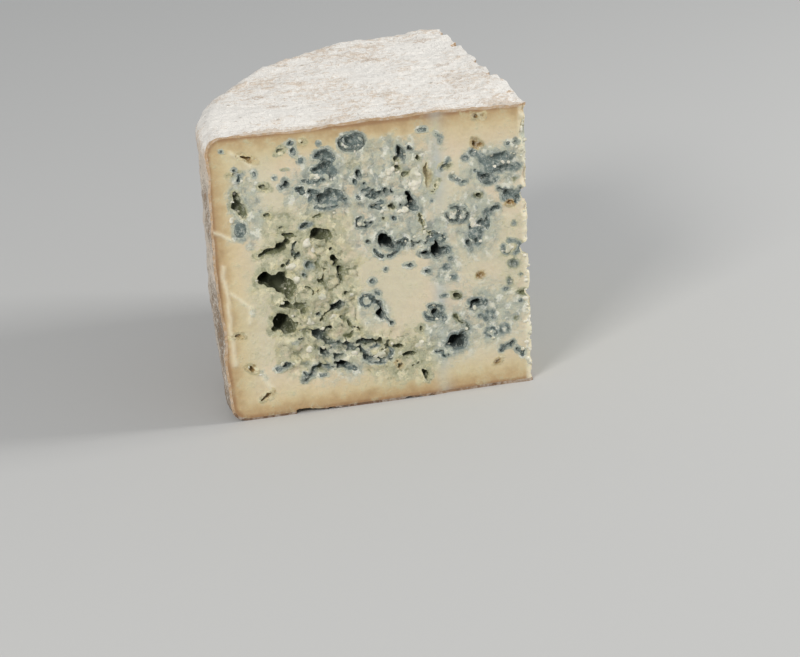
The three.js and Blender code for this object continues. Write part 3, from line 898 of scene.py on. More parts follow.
@dataclass(frozen=True)
class SideRule:
    """Throws openings over the side cut, into the bands where the curds met.

    The large ones come first and follow the same rule as those of the solid part.
    """

    radius: float = 100.0
    height: float = 90.5
    seed: int = 20593
    count: int = 40
    small_count: int = 70
    narrowest: float = 3.0
    widest: float = 10.0
    margin: float = 9.0
    gap: float = 0.56
    band_across: float = 11.0
    band_up: float = 9.9
    band_level: float = -0.9
    nearest: float = 2.0
    farthest: float = 95.0
    lowest: float = 4.0
    highest: float = 86.0

    def _band(self, u: float, z: float) -> float:
        """How far a place lies inside a wavy band of openings."""
        across = math.sin(u / self.band_across + 1.3 * math.sin(z / 13))
        return across + math.sin(z / self.band_up + 1.1 * math.sin(u / 15))

    def _numbers(self) -> Iterator[float]:
        """Repeatable random numbers from 0 up to 1."""
        state = self.seed
        while True:
            state = state * 16807 % 2147483647
            yield (state - 1) / 2147483646

    def large(self) -> list[Pocket]:
        """The large openings."""
        draw = self._numbers().__next__
        placed: list[Pocket] = []
        while len(placed) < self.count:
            u = self.margin / 2 + (self.radius - 1.4 * self.margin - self.margin / 2) * draw()
            z = self.margin + (self.height - 2 * self.margin) * draw()
            width = self.narrowest + (self.widest - self.narrowest) * draw() ** 1.6
            height = width * (0.45 + 0.45 * draw())
            depth = height * (0.7 + 0.6 * draw())
            tilt = -35 + 70 * draw()
            clear = all(
                math.hypot(other.u - u, other.z - z) > self.gap * (other.width + width)
                for other in placed
            )
            if self._band(u, z) > self.band_level and clear:
                tone = (INK, SLATE, OLIVE, MOSS)[len(placed) % 4]
                placed.append(Pocket(u, z, width, height, depth, tone, tilt))
        return placed

    def _companions(self, pocket: Pocket, rng: random.Random) -> Iterator[Feature]:
        """The tinted paste, small openings and cracks round one large opening.

        Args:
            pocket: The large opening.
            rng: Source of their places, sizes and kinds.

        Yields:
            Each of them.
        """
        tint = PALE if pocket.tone in (INK, SLATE) else MILD
        yield Stain(pocket.u, pocket.z, pocket.width + 7, pocket.height + 6, tint, pocket.tilt, 4)
        for index in range(rng.randint(3, 6)):
            angle, reach = rng.uniform(0, math.tau), rng.uniform(0.7, 1.5)
            u = pocket.u + reach * (pocket.width / 2 + 2.5) * math.cos(angle)
            z = pocket.z + reach * (pocket.height / 2 + 2.5) * math.sin(angle)
            if not (self.nearest < u < self.farthest and self.lowest < z < self.highest):
                continue
            width, height = rng.uniform(1.0, 3.4), rng.uniform(0.9, 2.2)
            tone = rng.choice((INK, INK, SLATE, MOSS, pocket.tone))
            if index % 4 == 1:
                yield Ring(u, z, width + 2.4, height + 2.2, tone, 0.8)
            elif index % 4 == 2:
                yield Crack(((pocket.u, pocket.z), (u, z)), rng.uniform(0.8, 1.5), tone)
            else:
                yield Pocket(u, z, width, height, rng.uniform(1.0, 3.0), tone, rng.uniform(-40, 40))

    def features(self) -> Iterator[Feature]:
        """Every opening, crack and stain of the side cut."""
        rng = random.Random(self.seed)
        large = self.large()
        for pocket in large:
            yield from self._companions(pocket, rng)
        yield from large
        for index in range(self.small_count):
            u, z = rng.uniform(3, 93), rng.uniform(5, 86)
            width, height = rng.uniform(0.9, 2.6), rng.uniform(0.8, 1.8)
            tone = (INK, SLATE, OLIVE, SLATE, OCHRE)[index % 5]
            if index % 3 == 0:
                yield Pocket(u, z, width, height, rng.uniform(0.8, 1.8), tone, rng.uniform(-40, 40))
            else:
                yield Stain(u, z, width, height, (PALE, SLATE, MILD)[index % 3], 0, 1.2)


class Marbling:
    """The openings of one cut and the mould that spreads from them."""

    FIELDS = ("mould", "slate", "ink", "ochre")
    SOFTEST = 4.0

    def __init__(self, wheel: Wheel, cut: Cut, features: Sequence[Feature], seed: int) -> None:
        """Works the features out into lumps.

        Args:
            wheel: The wheel, whose axis is the tip edge.
            cut: The cut that the openings lie in.
            features: Openings, cracks and stains.
            seed: Seed of their irregular lips.
        """
        rng = random.Random(seed)
        self.wheel = wheel
        self.cut = cut
        self.lumps = [lump for feature in features for lump in feature.lumps(cut.from_tip, rng)]

    def place(self, right: float, z: float, sunk: float) -> Vector:
        """The point that lies so far to the right, up and inward of the foot of the tip edge."""
        level = self.cut.right * right + self.cut.inward * sunk
        return self.wheel.axis + level * MM + Vector((0, 0, z * MM))

    def hollow(self, bm: Shape) -> None:
        """Adds the lumps that open the cheese to a cutter.

        Args:
            bm: The cutter's shape.
        """
        ball = round_lump(2)
        for lump in self.lumps:
            if not lump.hollow:
                continue
            tilt = Matrix.Rotation(math.radians(lump.tilt), 3, -self.cut.inward)
            across = tilt @ self.cut.right * lump.across * MM
            tall = tilt @ Vector((0, 0, lump.tall * MM))
            deep = self.cut.inward * lump.deep * MM
            add_lump(bm, ball, (across, deep, tall), self.place(lump.right, lump.z, lump.sunk))

    def spread(self, points: Array) -> dict[str, Array]:
        """How much mould, and of which kind, lies at each point.

        Args:
            points: Places in metres, one a row.

        Returns:
            The named fields, each with one value from 0 to 1 for each point.
        """
        right, z, sunk = (part / MM for part in self.cut.spread(points, self.wheel.axis))
        order = np.argsort(right)
        ranked = right[order]
        mould = np.zeros(len(points))
        weights = np.full(len(points), 1e-6)
        tints = np.zeros((3, len(points)))
        for lump in self.lumps:
            reach = max(lump.across, lump.tall) + lump.halo
            first, last = np.searchsorted(ranked, (lump.right - reach, lump.right + reach))
            near = order[first:last]
            level = np.abs(z[near] - lump.z) < reach
            near = near[level & (sunk[near] < lump.sunk + lump.deep + lump.halo)]
            x, y = turned(right[near] - lump.right, z[near] - lump.z, -lump.tilt)
            into = (sunk[near] - lump.sunk) / lump.deep
            far = np.sqrt((x / lump.across) ** 2 + (y / lump.tall) ** 2 + into**2)
            size = math.sqrt(min(lump.across, self.SOFTEST) * min(lump.tall, self.SOFTEST))
            gap = (far - 1.0) * size
            here = np.clip(1.0 - gap / lump.halo, 0.0, 1.0)
            *tint, cover = lump.tone.value
            mould[near] = np.maximum(mould[near], here * cover)
            weight = here**3 + 1e-6
            weights[near] += weight
            tints[:, near] += np.outer(tint, weight)
        slate, ink, ochre = tints / weights
        return {"mould": mould, "slate": slate, "ink": ink, "ochre": ochre}


@dataclass(frozen=True)
class Swell:
    """A soft rise of a cut face out of its plane, all in metres."""

    at: float
    level: float
    across: float
    up: float
    height: float

    def rise(self, u: Array, z: Array) -> Array:
        """How high it stands at places of the cut."""
        away = -(((u - self.at) / self.across) ** 2) - ((z - self.level) / self.up) ** 2
        return self.height * np.exp(away)


@dataclass(frozen=True)
class Knife:
    """The block that the two cuts leave, with the wavy, crumbly faces of a knife cut."""

    wheel: Wheel
    marblings: tuple[Marbling, ...]
    columns: tuple[int, int, int] = (165, 130, 150)
    margin: float = 6 * MM
    face_noise: tuple[Layer, ...] = (
        (0.35 * MM, 27 * MM, 3.1),
        (0.1 * MM, 5 * MM, 7.7),
        (0.03 * MM, 1.6 * MM, 1.3),
    )
    rough_noise: tuple[Layer, ...] = ((1.0, 2.6 * MM, 5.2), (0.7, 1.3 * MM, 9.4))
    crumb_noise: tuple[Layer, ...] = ((0.8, 4.2 * MM, 3.9), (0.5, 2.0 * MM, 2.7))
    mould_depth: float = 0.16 * MM
    step_at: float = 27 * MM
    step_over: float = 4 * MM
    step_height: float = 0.5 * MM
    tears: tuple[Tear, ...] = FRONT_TEARS
    torn_depth: float = 0.75 * MM
    vein_depth: float = 0.6 * MM
    groove_at: float = 97 * MM
    groove_width: float = 1.3 * MM
    groove_depth: float = 0.6 * MM
    tip_blunt: float = 1.5 * MM
    tip_reach: float = 8 * MM
    tip_nick: float = 1.1 * MM
    ridges: tuple[Ridge, ...] = FRONT_RIDGES
    front_swell: Swell = Swell(25 * MM, 90 * MM, 9 * MM, 6 * MM, 0.5 * MM)
    side_swell: Swell = Swell(21 * MM, 90 * MM, 8 * MM, 8 * MM, 1.3 * MM)
    side_rim: float = 0.5 * MM
    side_patch: float = 34 * MM
    side_torn: float = 0.6
    wide_crevice: float = 5.6 * MM
    fine_crevice: float = 2.6 * MM

    def creases(self, points: Array) -> tuple[Array, Array]:
        """Where the knife left creases in the front cut.

        Args:
            points: Places in metres, one a row.

        Returns:
            How near each point is to a crest, from 0 to 1, and how high the crest stands there.
        """
        right, z, sunk = Cut.FRONT.spread(points, self.wheel.axis)
        wander = 0.5 * perlin(points, 4 * MM, 6.8)
        marks = [ridge.mark(-right / MM + wander, z / MM) for ridge in self.ridges]
        high = np.max([mark * ridge.height for mark, ridge in zip(marks, self.ridges)], axis=0)
        return np.max(marks, axis=0) * (sunk < 1.5 * MM), high * MM

    def torn(self, points: Array, marbling: Marbling) -> Array:
        """How much the knife tore the cut instead of slicing it.

        Args:
            points: Places in metres, one a row.
            marbling: The cut that they lie in.

        Returns:
            One value from 0 to 1 for each point.
        """
        if marbling.cut is Cut.SIDE:
            patches = perlin(points * [0, 1, 1], self.side_patch, 6.4)
            return smooth_step(0.35, 0.8, patches) * self.side_torn
        right, z, sunk = marbling.cut.spread(points, self.wheel.axis)
        flat = points - np.outer(sunk, np.array(marbling.cut.inward))
        uneven = 0.2 * perlin(flat, 11 * MM, 2.6)
        parts = []
        for tear in self.tears:
            away = np.hypot((-right / MM - tear.u) / tear.across, (z / MM - tear.z) / tear.up)
            parts.append(tear.strength * smooth_step(1.0, 0.7, away + uneven))
        return np.max(parts, axis=0)

    def crevices(self, points: Array, marbling: Marbling, mould: Array) -> Array:
        """How much of a crevice between torn curds lies at points of a cut, from 0 to 1.

        Args:
            points: Places in metres, one a row.
            marbling: The cut that they lie in.
            mould: How much mould lies at each point.

        Returns:
            One value for each point.
        """
        sunk = marbling.cut.spread(points, self.wheel.axis)[2]
        flat = points - np.outer(sunk, np.array(marbling.cut.inward))
        torn = np.maximum(smooth_step(0.1, 0.5, mould) * 0.55, self.torn(points, marbling))
        bend = 1.0 * MM * perlin(flat, 2.3 * MM, 8.2)
        wide_net = hump(perlin(flat + bend[:, None], self.wide_crevice, 6.1), 0.0, 0.13)
        fine_net = hump(perlin(flat + bend[:, None], self.fine_crevice, 4.3), 0.0, 0.15)
        patchy = smooth_step(-0.5, 0.3, perlin(flat, 8 * MM, 1.9))
        return torn * np.clip(patchy * wide_net + 0.7 * fine_net * (1.2 - patchy), 0.0, 1.0)

    def relief(self, points: Array, marbling: Marbling) -> Array:
        """How far a cut face stands inside its plane.

        Args:
            points: Places in metres, one a row.
            marbling: The cut that they lie in.

        Returns:
            One depth in metres for each point.
        """
        depth = layered(points, self.face_noise)
        mould = marbling.spread(points)["mould"]
        rough = layered(points, self.rough_noise)
        depth += self.mould_depth * smooth_step(0.05, 0.5, mould) * rough
        crevice = self.crevices(points, marbling, mould)
        depth += np.where(mould > 0.1, self.vein_depth, self.torn_depth) * crevice * (1 + 0.4 * rough)
        crumbs = layered(points, self.crumb_noise) + 0.3 * rough
        depth += self.torn_depth * self.torn(points, marbling) * (crumbs + 0.2)
        right, z, _ = marbling.cut.spread(points, self.wheel.axis)
        if marbling.cut is Cut.FRONT:
            depth += self.step_height * smooth_step(self.step_at + self.step_over, self.step_at, -right)
            depth -= self.front_swell.rise(-right, z)
            groove = hump(-right, self.groove_at, self.groove_width)
            along = smooth_step(12 * MM, 20 * MM, z) * smooth_step(60 * MM, 46 * MM, z)
            depth += self.groove_depth * groove * along - self.creases(points)[1]
        else:
            depth -= self.side_swell.rise(right, z)
            depth += self.side_rim * smooth_step(80 * MM, 90 * MM, z) * perlin(points, 6 * MM, 8.8)
        return depth

    def block(self) -> Piece:
        """The block, with its front and right faces finely divided and wavy.

        Returns:
            The closed block, larger than the wheel on its other sides.
        """
        side = self.wheel.radius + self.margin
        tall = self.wheel.height + 2 * self.margin
        bm = bmesh.new()
        bmesh.ops.create_cube(bm, size=1.0)
        for way, cuts in enumerate(self.columns):
            along = [
                edge for edge in bm.edges if abs(edge.verts[0].co[way] - edge.verts[1].co[way]) > 0.9
            ]
            bmesh.ops.subdivide_edges(bm, edges=along, cuts=cuts, use_grid_fill=True)
        bmesh.ops.scale(bm, vec=(side, side, tall), verts=bm.verts)
        centre = self.wheel.axis + Vector((-side / 2, side / 2, self.wheel.height / 2))
        bmesh.ops.translate(bm, verts=bm.verts, vec=centre)
        block = to_object(bm, "knife_block")
        points = read_points(block.data)
        moved = points.copy()
        for marbling in self.marblings:
            inward = marbling.cut.spread(points, self.wheel.axis)[2]
            on_cut = inward < 0.01 * MM
            push = np.outer(self.relief(points[on_cut], marbling), np.array(marbling.cut.inward))
            moved[on_cut] += push
        write_points(block.data, self._blunt_tip(moved))
        return block

    def _blunt_tip(self, points: Array) -> Array:
        """Bevels the sharp edge where the two cuts meet, mostly on the front's side.

        Args:
            points: Places of the block, one a row. They are changed.

        Returns:
            The same places.
        """
        into = (self.wheel.axis.x - points[:, 0]) + (points[:, 1] - self.wheel.axis.y)
        close = into < self.tip_reach
        tip = points[close]
        ragged = 0.8 * perlin(tip * [0, 0, 1], 8 * MM, 2.2) + 0.7 * perlin(tip, 2.0 * MM)
        want = self.tip_blunt * (0.9 + 0.8 * tip[:, 2] / self.wheel.height + 0.5 * ragged)
        push = np.clip(want - into[close], 0, None)
        points[close] += np.outer(push, (-0.15, 0.85, 0.0))
        nick = np.clip(perlin(tip * [0, 1, 1], 3.4 * MM, 5.5) - 0.15, 0, 1)
        points[close, 0] -= self.tip_nick * (nick * smooth_step(6 * MM, 1 * MM, into[close]))
        return points


# ---- Finishes ----


def paint(red: float, green: float, blue: float) -> Colour:
    """A colour given as it looks on a screen, from 0 to 255, as the light that it reflects."""
    linear = [((part / 255 + 0.055) / 1.055) ** 2.4 for part in (red, green, blue)]
    return (*linear, 1.0)


class Graph:
    """Writes the nodes of one material or node group."""

    def __init__(self, tree: bpy.types.NodeTree) -> None:
        """Starts on a tree."""
        self.tree = tree

    def node(self, kind: str, **settings: object) -> bpy.types.Node:
        """A new node with its settings."""
        made = self.tree.nodes.new(kind)
        for name, setting in settings.items():
            setattr(made, name, setting)
        return made

    def feed(self, value: Value, socket: Socket) -> None:
        """Links a socket to an input, or sets the input to a constant."""
        if isinstance(value, Socket):
            self.tree.links.new(value, socket)
        else:
            socket.default_value = value

    def math(self, operation: str, first: Value, second: Value = 0.0) -> Socket:
        """The result of one sum."""
        made = self.node("ShaderNodeMath", operation=operation)
        self.feed(first, made.inputs[0])
        self.feed(second, made.inputs[1])
        return made.outputs[0]

    def _over(self, operation: str, parts: Sequence[Value]) -> Socket:
        """One operation carried on over several parts, from the first."""
        total = parts[0]
        for part in parts[1:]:
            total = self.math(operation, total, part)
        return total

    def times(self, *parts: Value) -> Socket:
        """The product of the parts."""
        return self._over("MULTIPLY", parts)

    def plus(self, *parts: Value) -> Socket:
        """The sum of the parts."""
        return self._over("ADD", parts)

    def minus(self, first: Value, second: Value) -> Socket:
        """The first part less the second."""
        return self.math("SUBTRACT", first, second)

    def most(self, *parts: Value) -> Socket:
        """The largest of the parts."""
        return self._over("MAXIMUM", parts)

    def blend(self, *shares: tuple[Value, float]) -> Socket:
        """The sum of the parts, each times its share."""
        return self.plus(*(self.times(part, share) for part, share in shares))

    def step(
        self, value: Value, low: float, high: float, start: float = 0.0, end: float = 1.0
    ) -> Socket:
        """Rises smoothly from start, at low, to end, at high."""
        made = self.node("ShaderNodeMapRange", interpolation_type="SMOOTHSTEP")
        for socket, part in zip(made.inputs, (value, low, high, start, end)):
            self.feed(part, socket)
        return made.outputs[0]

    def mix(self, factor: Value, first: Value, second: Value, blend: str = "MIX") -> Socket:
        """One colour laid over another."""
        made = self.node("ShaderNodeMix", data_type="RGBA", blend_type=blend)
        for name, part in (("Factor_Float", factor), ("A_Color", first), ("B_Color", second)):
            socket = next(one for one in made.inputs if one.identifier == name)
            self.feed(part, socket)
        return next(one for one in made.outputs if one.identifier == "Result_Color")

    def attribute(self, name: str) -> Socket:
        """A number kept with the mesh's vertices."""
        return self.node("ShaderNodeAttribute", attribute_name=name).outputs["Fac"]

    def effect(self, group: bpy.types.NodeTree, **inputs: Value) -> Socket:
        """The first output of a shared effect."""
        made = self.node("ShaderNodeGroup", node_tree=group)
        for name, value in inputs.items():
            self.feed(value, made.inputs[name.capitalize()])
        return made.outputs[0]

    def place(self) -> Socket:
        """The shaded place in the object's own millimetres."""
        own = self.node("ShaderNodeTexCoord").outputs["Object"]
        scaled = self.node("ShaderNodeVectorMath", operation="SCALE")
        self.feed(own, scaled.inputs[0])
        self.feed(1 / MM, scaled.inputs["Scale"])
        return scaled.outputs[0]

    def vector(self, operation: str, first: Value, second: Value) -> Socket:
        """The result of one sum of two places."""
        made = self.node("ShaderNodeVectorMath", operation=operation)
        self.feed(first, made.inputs[0])
        self.feed(second, made.inputs[1])
        return made.outputs[0]

    def noise(self, place: Value, length: Value, detail: Value) -> Socket:
        """A cloud from 0 to 1, with patches about as large as its length."""
        made = self.node("ShaderNodeTexNoise")
        parts = {"Vector": place, "Scale": self.math("DIVIDE", 1.0, length), "Detail": detail}
        for name, part in parts.items():
            self.feed(part, made.inputs[name])
        return made.outputs["Fac"]


def effect_group(
    name: str, numbers: dict[str, float]
) -> tuple[Graph, bpy.types.Node, Socket]:
    """Starts a shared effect with a place, some numbers and one value that comes out.

    Args:
        name: Name of the effect.
        numbers: Its number inputs and their usual values.

    Returns:
        The graph, the node with the inputs and the socket that takes the result.
    """
    tree = bpy.data.node_groups.new(name, "ShaderNodeTree")
    tree.interface.new_socket("Place", in_out="INPUT", socket_type="NodeSocketVector")
    for label, usual in numbers.items():
        socket = tree.interface.new_socket(label, in_out="INPUT", socket_type="NodeSocketFloat")
        socket.default_value = usual
    tree.interface.new_socket("Mask", in_out="OUTPUT", socket_type="NodeSocketFloat")
    graph = Graph(tree)
    given = graph.node("NodeGroupInput")
    result = graph.node("NodeGroupOutput").inputs[0]
    return graph, given, result


def mottle_effect() -> bpy.types.NodeTree:
    """Soft cloudy patches, from 0 to 1, about as large as their length in millimetres."""
    graph, given, result = effect_group("mottle", {"Length": 5.0, "Detail": 3.0, "Shift": 0.0})
    moved = graph.vector("ADD", given.outputs["Place"], given.outputs["Shift"])
    graph.feed(graph.noise(moved, given.outputs["Length"], given.outputs["Detail"]), result)
    return graph.tree


def speck_effect() -> bpy.types.NodeTree:
    """Small round specks: 1 inside, with a soft edge, one for each spacing in millimetres."""
    graph, given, result = effect_group("specks", {"Spacing": 3.0, "Size": 0.2})
    scale = graph.math("DIVIDE", 1.0, given.outputs["Spacing"])
    cells = graph.node("ShaderNodeTexVoronoi")
    graph.feed(given.outputs["Place"], cells.inputs["Vector"])
    graph.feed(scale, cells.inputs["Scale"])
    parts = graph.node("ShaderNodeSeparateColor")
    graph.feed(cells.outputs["Color"], parts.inputs[0])
    size = graph.times(given.outputs["Size"], parts.outputs[0])
    graph.feed(graph.step(graph.minus(size, cells.outputs["Distance"]), -0.04, 0.04), result)
    return graph.tree


def line_effect() -> bpy.types.NodeTree:
    """Thin wandering lines, as round curd granules: 1 on a line and 0 between them."""
    graph, given, result = effect_group("granule_lines", {"Length": 3.0, "Width": 0.05})
    cloud = graph.noise(given.outputs["Place"], given.outputs["Length"], 1.5)
    off = graph.math("ABSOLUTE", graph.minus(cloud, 0.5))
    graph.feed(graph.step(graph.math("DIVIDE", off, given.outputs["Width"]), 0.4, 1.0, 1.0, 0.0), result)
    return graph.tree


@dataclass(frozen=True)
class Effects:
    """The effects that the finishes share."""

    mottle: bpy.types.NodeTree
    specks: bpy.types.NodeTree
    lines: bpy.types.NodeTree


def start_material(name: str) -> tuple[Material, Graph, bpy.types.Node]:
    """A new material with its graph and its shader."""
    material = bpy.data.materials.new(name)
    material.use_nodes = True
    shader = material.node_tree.nodes["Principled BSDF"]
    return material, Graph(material.node_tree), shader


def add_glow(shader: bpy.types.Node, colour: Triple, distance: float) -> None:
    """Lets a little light spread inside the cheese, by a colour and a distance in metres."""
    shader.inputs["Subsurface Weight"].default_value = GLOW_WEIGHT
    shader.inputs["Subsurface Radius"].default_value = colour
    shader.inputs["Subsurface Scale"].default_value = distance


def bump(graph: Graph, shader: bpy.types.Node, height: Value, distance: float, strength: float) -> None:
    """Gives a shader a fine relief.

    Args:
        graph: The material's graph.
        shader: Its shader.
        height: The height of each place, between 0 and 1.
        distance: What a height of 1 stands for, in metres.
        strength: How strongly it shows.
    """
    node = graph.node("ShaderNodeBump")
    graph.feed(height, node.inputs["Height"])
    node.inputs["Distance"].default_value = distance
    node.inputs["Strength"].default_value = strength
    graph.feed(node.outputs[0], shader.inputs["Normal"])


@dataclass(frozen=True)
class PasteMasks:
    """What the paste's material knows of each place: the mould near it and four clouds."""

    given: Value
    mould: Value
    spread: Value
    slate: Value
    ink: Value
    ochre: Value
    leaning: Value
    sunk: Value
    ragged: Value
    wide: Value
    middle: Value
    fine: Value
    grain: Value


@dataclass(frozen=True)
class PasteFinish:
    """Moist ivory paste with blue-green mould in and round its openings."""

    name: str = "ivory_paste"
    plain: Colour = paint(228, 212, 184)
    cool: Colour = paint(221, 212, 184)
    yellow: Colour = paint(217, 196, 142)
    butter: Colour = paint(217, 206, 160)
    under_rind: Colour = paint(183, 148, 105)
    crust_line: Colour = paint(156, 115, 78)
    halo_slate: Colour = paint(186, 191, 174)
    halo_olive: Colour = paint(190, 189, 158)
    halo_ochre: Colour = paint(206, 190, 148)
    smear: Colour = paint(189, 196, 191)
    slate: Colour = paint(116, 130, 127)
    # Dark wall colours: the black-green ink mould, and painted shade deep in the openings.
    slate_ink_and_shade: Colour = paint(38, 47, 45)
    olive: Colour = paint(124, 127, 92)
    # Dark olive of the walls: ink mould, and painted shade deep in the openings.
    olive_ink_and_shade: Colour = paint(66, 70, 48)
    murk_slate: Colour = paint(150, 159, 152)
    murk_olive: Colour = paint(160, 162, 132)
    ochre: Colour = paint(160, 126, 72)
    outline: Colour = paint(56, 66, 60)
    lip: Colour = paint(224, 229, 222)
    fleck: Colour = paint(238, 237, 222)
    cream: Colour = paint(234, 226, 192)
    # Painted highlight along the tip edge and the knife creases.
    tip: Colour = paint(240, 232, 204)
    plain_roughness: float = 0.46
    mould_roughness: float = 0.8
    ripe_share: float = 0.75
    halo_share: float = 0.9
    murk_share: float = 0.45
    line_share: float = 0.4
    torn_share: float = 0.75
    dot_share: float = 0.6
    blot_share: float = 0.62
    rim_share: float = 0.62
    lip_share: float = 0.45
    glow: Triple = (1.0, 0.75, 0.4)
    glow_reach: float = 1.2 * MM
    relief: float = 0.26 * MM

    def build(self, effects: Effects) -> Material:
        """Makes the material.

        Args:
            effects: The shared effects.

        Returns:
            The material.
        """
        material, graph, shader = start_material(self.name)
        place = graph.place()

        def cloud(length: float, detail: float = 3.0, shift: float = 0.0) -> Socket:
            """A cloud whose patches have a length in millimetres."""
            return graph.effect(effects.mottle, place=place, length=length, detail=detail, shift=shift)

        masks = self._masks(graph, (cloud(24, 2), cloud(4.5), cloud(1.3, 2), cloud(0.45, 2, 7.0)))
        # The wall colour darkens deeper in the openings: painted shade, with the ink mould's own dark.
        walls = self._walls(graph, masks)
        colour = self._halo(graph, self._paste(graph, masks), masks, cloud(3.1, 2, 12.0))
        murk = graph.times(graph.step(cloud(3.2, 5, 33.0), 0.5, 0.6), graph.step(masks.given, 0.1, 0.4))
        shade = graph.mix(masks.leaning, self.murk_olive, self.murk_slate)
        colour = graph.mix(graph.times(murk, self.murk_share), colour, shade)
        fleck = graph.times(
            graph.step(cloud(2.7, 4, 4.0), 0.52, 0.61),
            graph.step(masks.given, 0.04, 0.3),
            graph.step(masks.middle, 0.36, 0.58, 0.2, 0.8),
        )
        colour = graph.mix(fleck, colour, graph.mix(masks.leaning, self.cream, self.fleck))
        lines = graph.effect(effects.lines, place=place, length=2.4, width=0.026)
        lines = graph.times(lines, graph.step(masks.mould, 0.2, 0.5, 0.0, self.line_share))
        # Crevices of the torn parts and the ragged mould edges take the wall colour: the mould in them, and
        # painted shade in the crevices.
        torn = graph.plus(graph.attribute("crevice"), masks.ragged)
        torn = graph.step(torn, 0.26, 0.75, 0.0, self.torn_share)
        colour = graph.mix(graph.most(lines, torn), colour, walls)
        blots = graph.times(graph.step(cloud(2.1, 5, 21.0), 0.54, 0.64), graph.step(masks.given, 0.12, 0.4))
        dots = graph.effect(effects.specks, place=place, spacing=1.9, size=0.3)
        dots = graph.times(dots, graph.step(masks.mould, 0.3, 0.55, 0.0, self.dot_share))
        coated = graph.times(graph.step(masks.mould, 0.76, 0.86), graph.step(masks.slate, 0.25, 0.8))
        inside = graph.times(graph.step(masks.sunk, 0.35, 0.9), graph.step(masks.mould, 0.35, 0.75))
        covered = graph.most(coated, inside, dots, graph.times(blots, self.blot_share))
        colour = self._lips(graph, graph.mix(covered, colour, walls), masks)
        graph.feed(colour, shader.inputs["Base Color"])
        wet = graph.step(masks.mould, 0.2, 0.7, self.plain_roughness, self.mould_roughness)
        graph.feed(wet, shader.inputs["Roughness"])
        add_glow(shader, self.glow, self.glow_reach)
        rough = graph.times(masks.grain, graph.step(masks.spread, 0.0, 0.5, 0.25, 1.0))
        bump(graph, shader, graph.plus(rough, graph.times(masks.fine, 0.8)), self.relief, 0.9)
        return material

    def _masks(self, graph: Graph, clouds: tuple[Value, Value, Value, Value]) -> PasteMasks:
        """Reads what the mesh keeps of the mould and gives its edges a ragged line.

        Args:
            graph: The material's graph.
            clouds: A wide, a middle, a fine and a finer cloud.

        Returns:
            The masks.
        """
        _, middle, fine, grain = clouds
        ragged = graph.minus(graph.blend((fine, 0.6), (grain, 0.3)), 0.45)
        given, slate, ink, ochre = (graph.attribute(name) for name in Marbling.FIELDS)
        mould = graph.plus(given, ragged)
        spread = graph.plus(mould, graph.minus(middle, 0.5))
        sunk, leaning = graph.attribute("sunk"), graph.step(slate, 0.1, 0.6)
        return PasteMasks(given, mould, spread, slate, ink, ochre, leaning, sunk, ragged, *clouds)

    def _paste(self, graph: Graph, masks: PasteMasks) -> Socket:
        """The colour of the paste alone: zones, the ripe layer, the brown line under the rind and a painted
        highlight along the tip edge and knife creases.

        Args:
            graph: The material's graph.
            masks: What it knows of each place.

        Returns:
            The colour.
        """
        colour = graph.mix(graph.step(masks.wide, 0.38, 0.6), self.plain, self.cool)
        under = graph.attribute("under_rind")
        ripe = graph.plus(under, graph.times(graph.minus(masks.middle, 0.5), 6.0))
        colour = graph.mix(graph.step(ripe, 1.0, 14.0, 0.7, 0.0), colour, self.yellow)
        colour = graph.mix(graph.step(ripe, 0.0, 6.0, self.ripe_share, 0.0), colour, self.under_rind)
        colour = graph.mix(graph.step(under, 0.2, 1.4, 0.7, 0.0), colour, self.crust_line)
        # Painted highlight along the tip edge and on the knife creases.
        colour = graph.mix(graph.attribute("tip"), colour, self.tip)
        colour = graph.mix(graph.attribute("smear"), colour, self.smear)
        shade = graph.blend((masks.middle, 0.5), (masks.fine, 0.5))
        tone = graph.step(shade, 0.3, 0.7, 0.92, 1.03)
        grey = graph.node("ShaderNodeCombineColor")
        for socket in grey.inputs:
            graph.feed(tone, socket)
        return graph.mix(1.0, colour, grey.outputs[0], "MULTIPLY")

    def _halo(self, graph: Graph, paste: Value, masks: PasteMasks, patches: Value) -> Socket:
        """The paste round the openings: grey-green or slate, with buttery patches.

        Args:
            graph: The material's graph.
            paste: Colour of the plain paste.
            masks: What the material knows of each place.
            patches: A cloud of its own for the buttery patches.

        Returns:
            The colour.
        """
        halo = graph.mix(masks.leaning, self.halo_olive, self.halo_slate)
        halo = graph.mix(graph.step(masks.ochre, 0.2, 0.9), halo, self.halo_ochre)
        colour = graph.mix(graph.step(masks.spread, 0.0, 0.5, 0.0, self.halo_share), paste, halo)
        butter = graph.times(
            graph.step(patches, 0.52, 0.68, 0.0, 0.5),
            graph.step(masks.spread, 0.05, 0.35),
            graph.step(masks.slate, 0.2, 0.7, 1.0, 0.2),
        )
        return graph.mix(butter, colour, self.butter)

    def _walls(self, graph: Graph, masks: PasteMasks) -> Socket:
        """The mould on the walls of the openings, lighter at the lips and darker deeper inside: partly the
        black-green ink mould, partly painted shade in the hollows.

        Args:
            graph: The material's graph.
            masks: What it knows of each place.

        Returns:
            The colour.
        """
        light = graph.mix(masks.leaning, self.olive, self.slate)
        light = graph.mix(graph.step(masks.ochre, 0.2, 0.9), light, self.ochre)
        mealy = graph.blend((masks.fine, 0.6), (masks.grain, 0.4))
        light = graph.mix(graph.step(mealy, 0.46, 0.64, 0.0, 0.4), light, self.fleck)
        # The dark colour stands for the ink mould and for painted shade in the hollows.
        dark = graph.mix(masks.leaning, self.olive_ink_and_shade, self.slate_ink_and_shade)
        uneven = graph.times(graph.minus(0.5, mealy), 7.0)
        depth = graph.plus(masks.sunk, graph.minus(uneven, masks.leaning))
        # Deeper places take more of the dark colour: painted shade, and black ink mould where ink is given.
        black = graph.times(masks.ink, graph.step(depth, 0.2, 1.6, 0.35, 1.0))
        return graph.mix(graph.most(black, graph.step(depth, 0.7, 4.4)), light, dark)

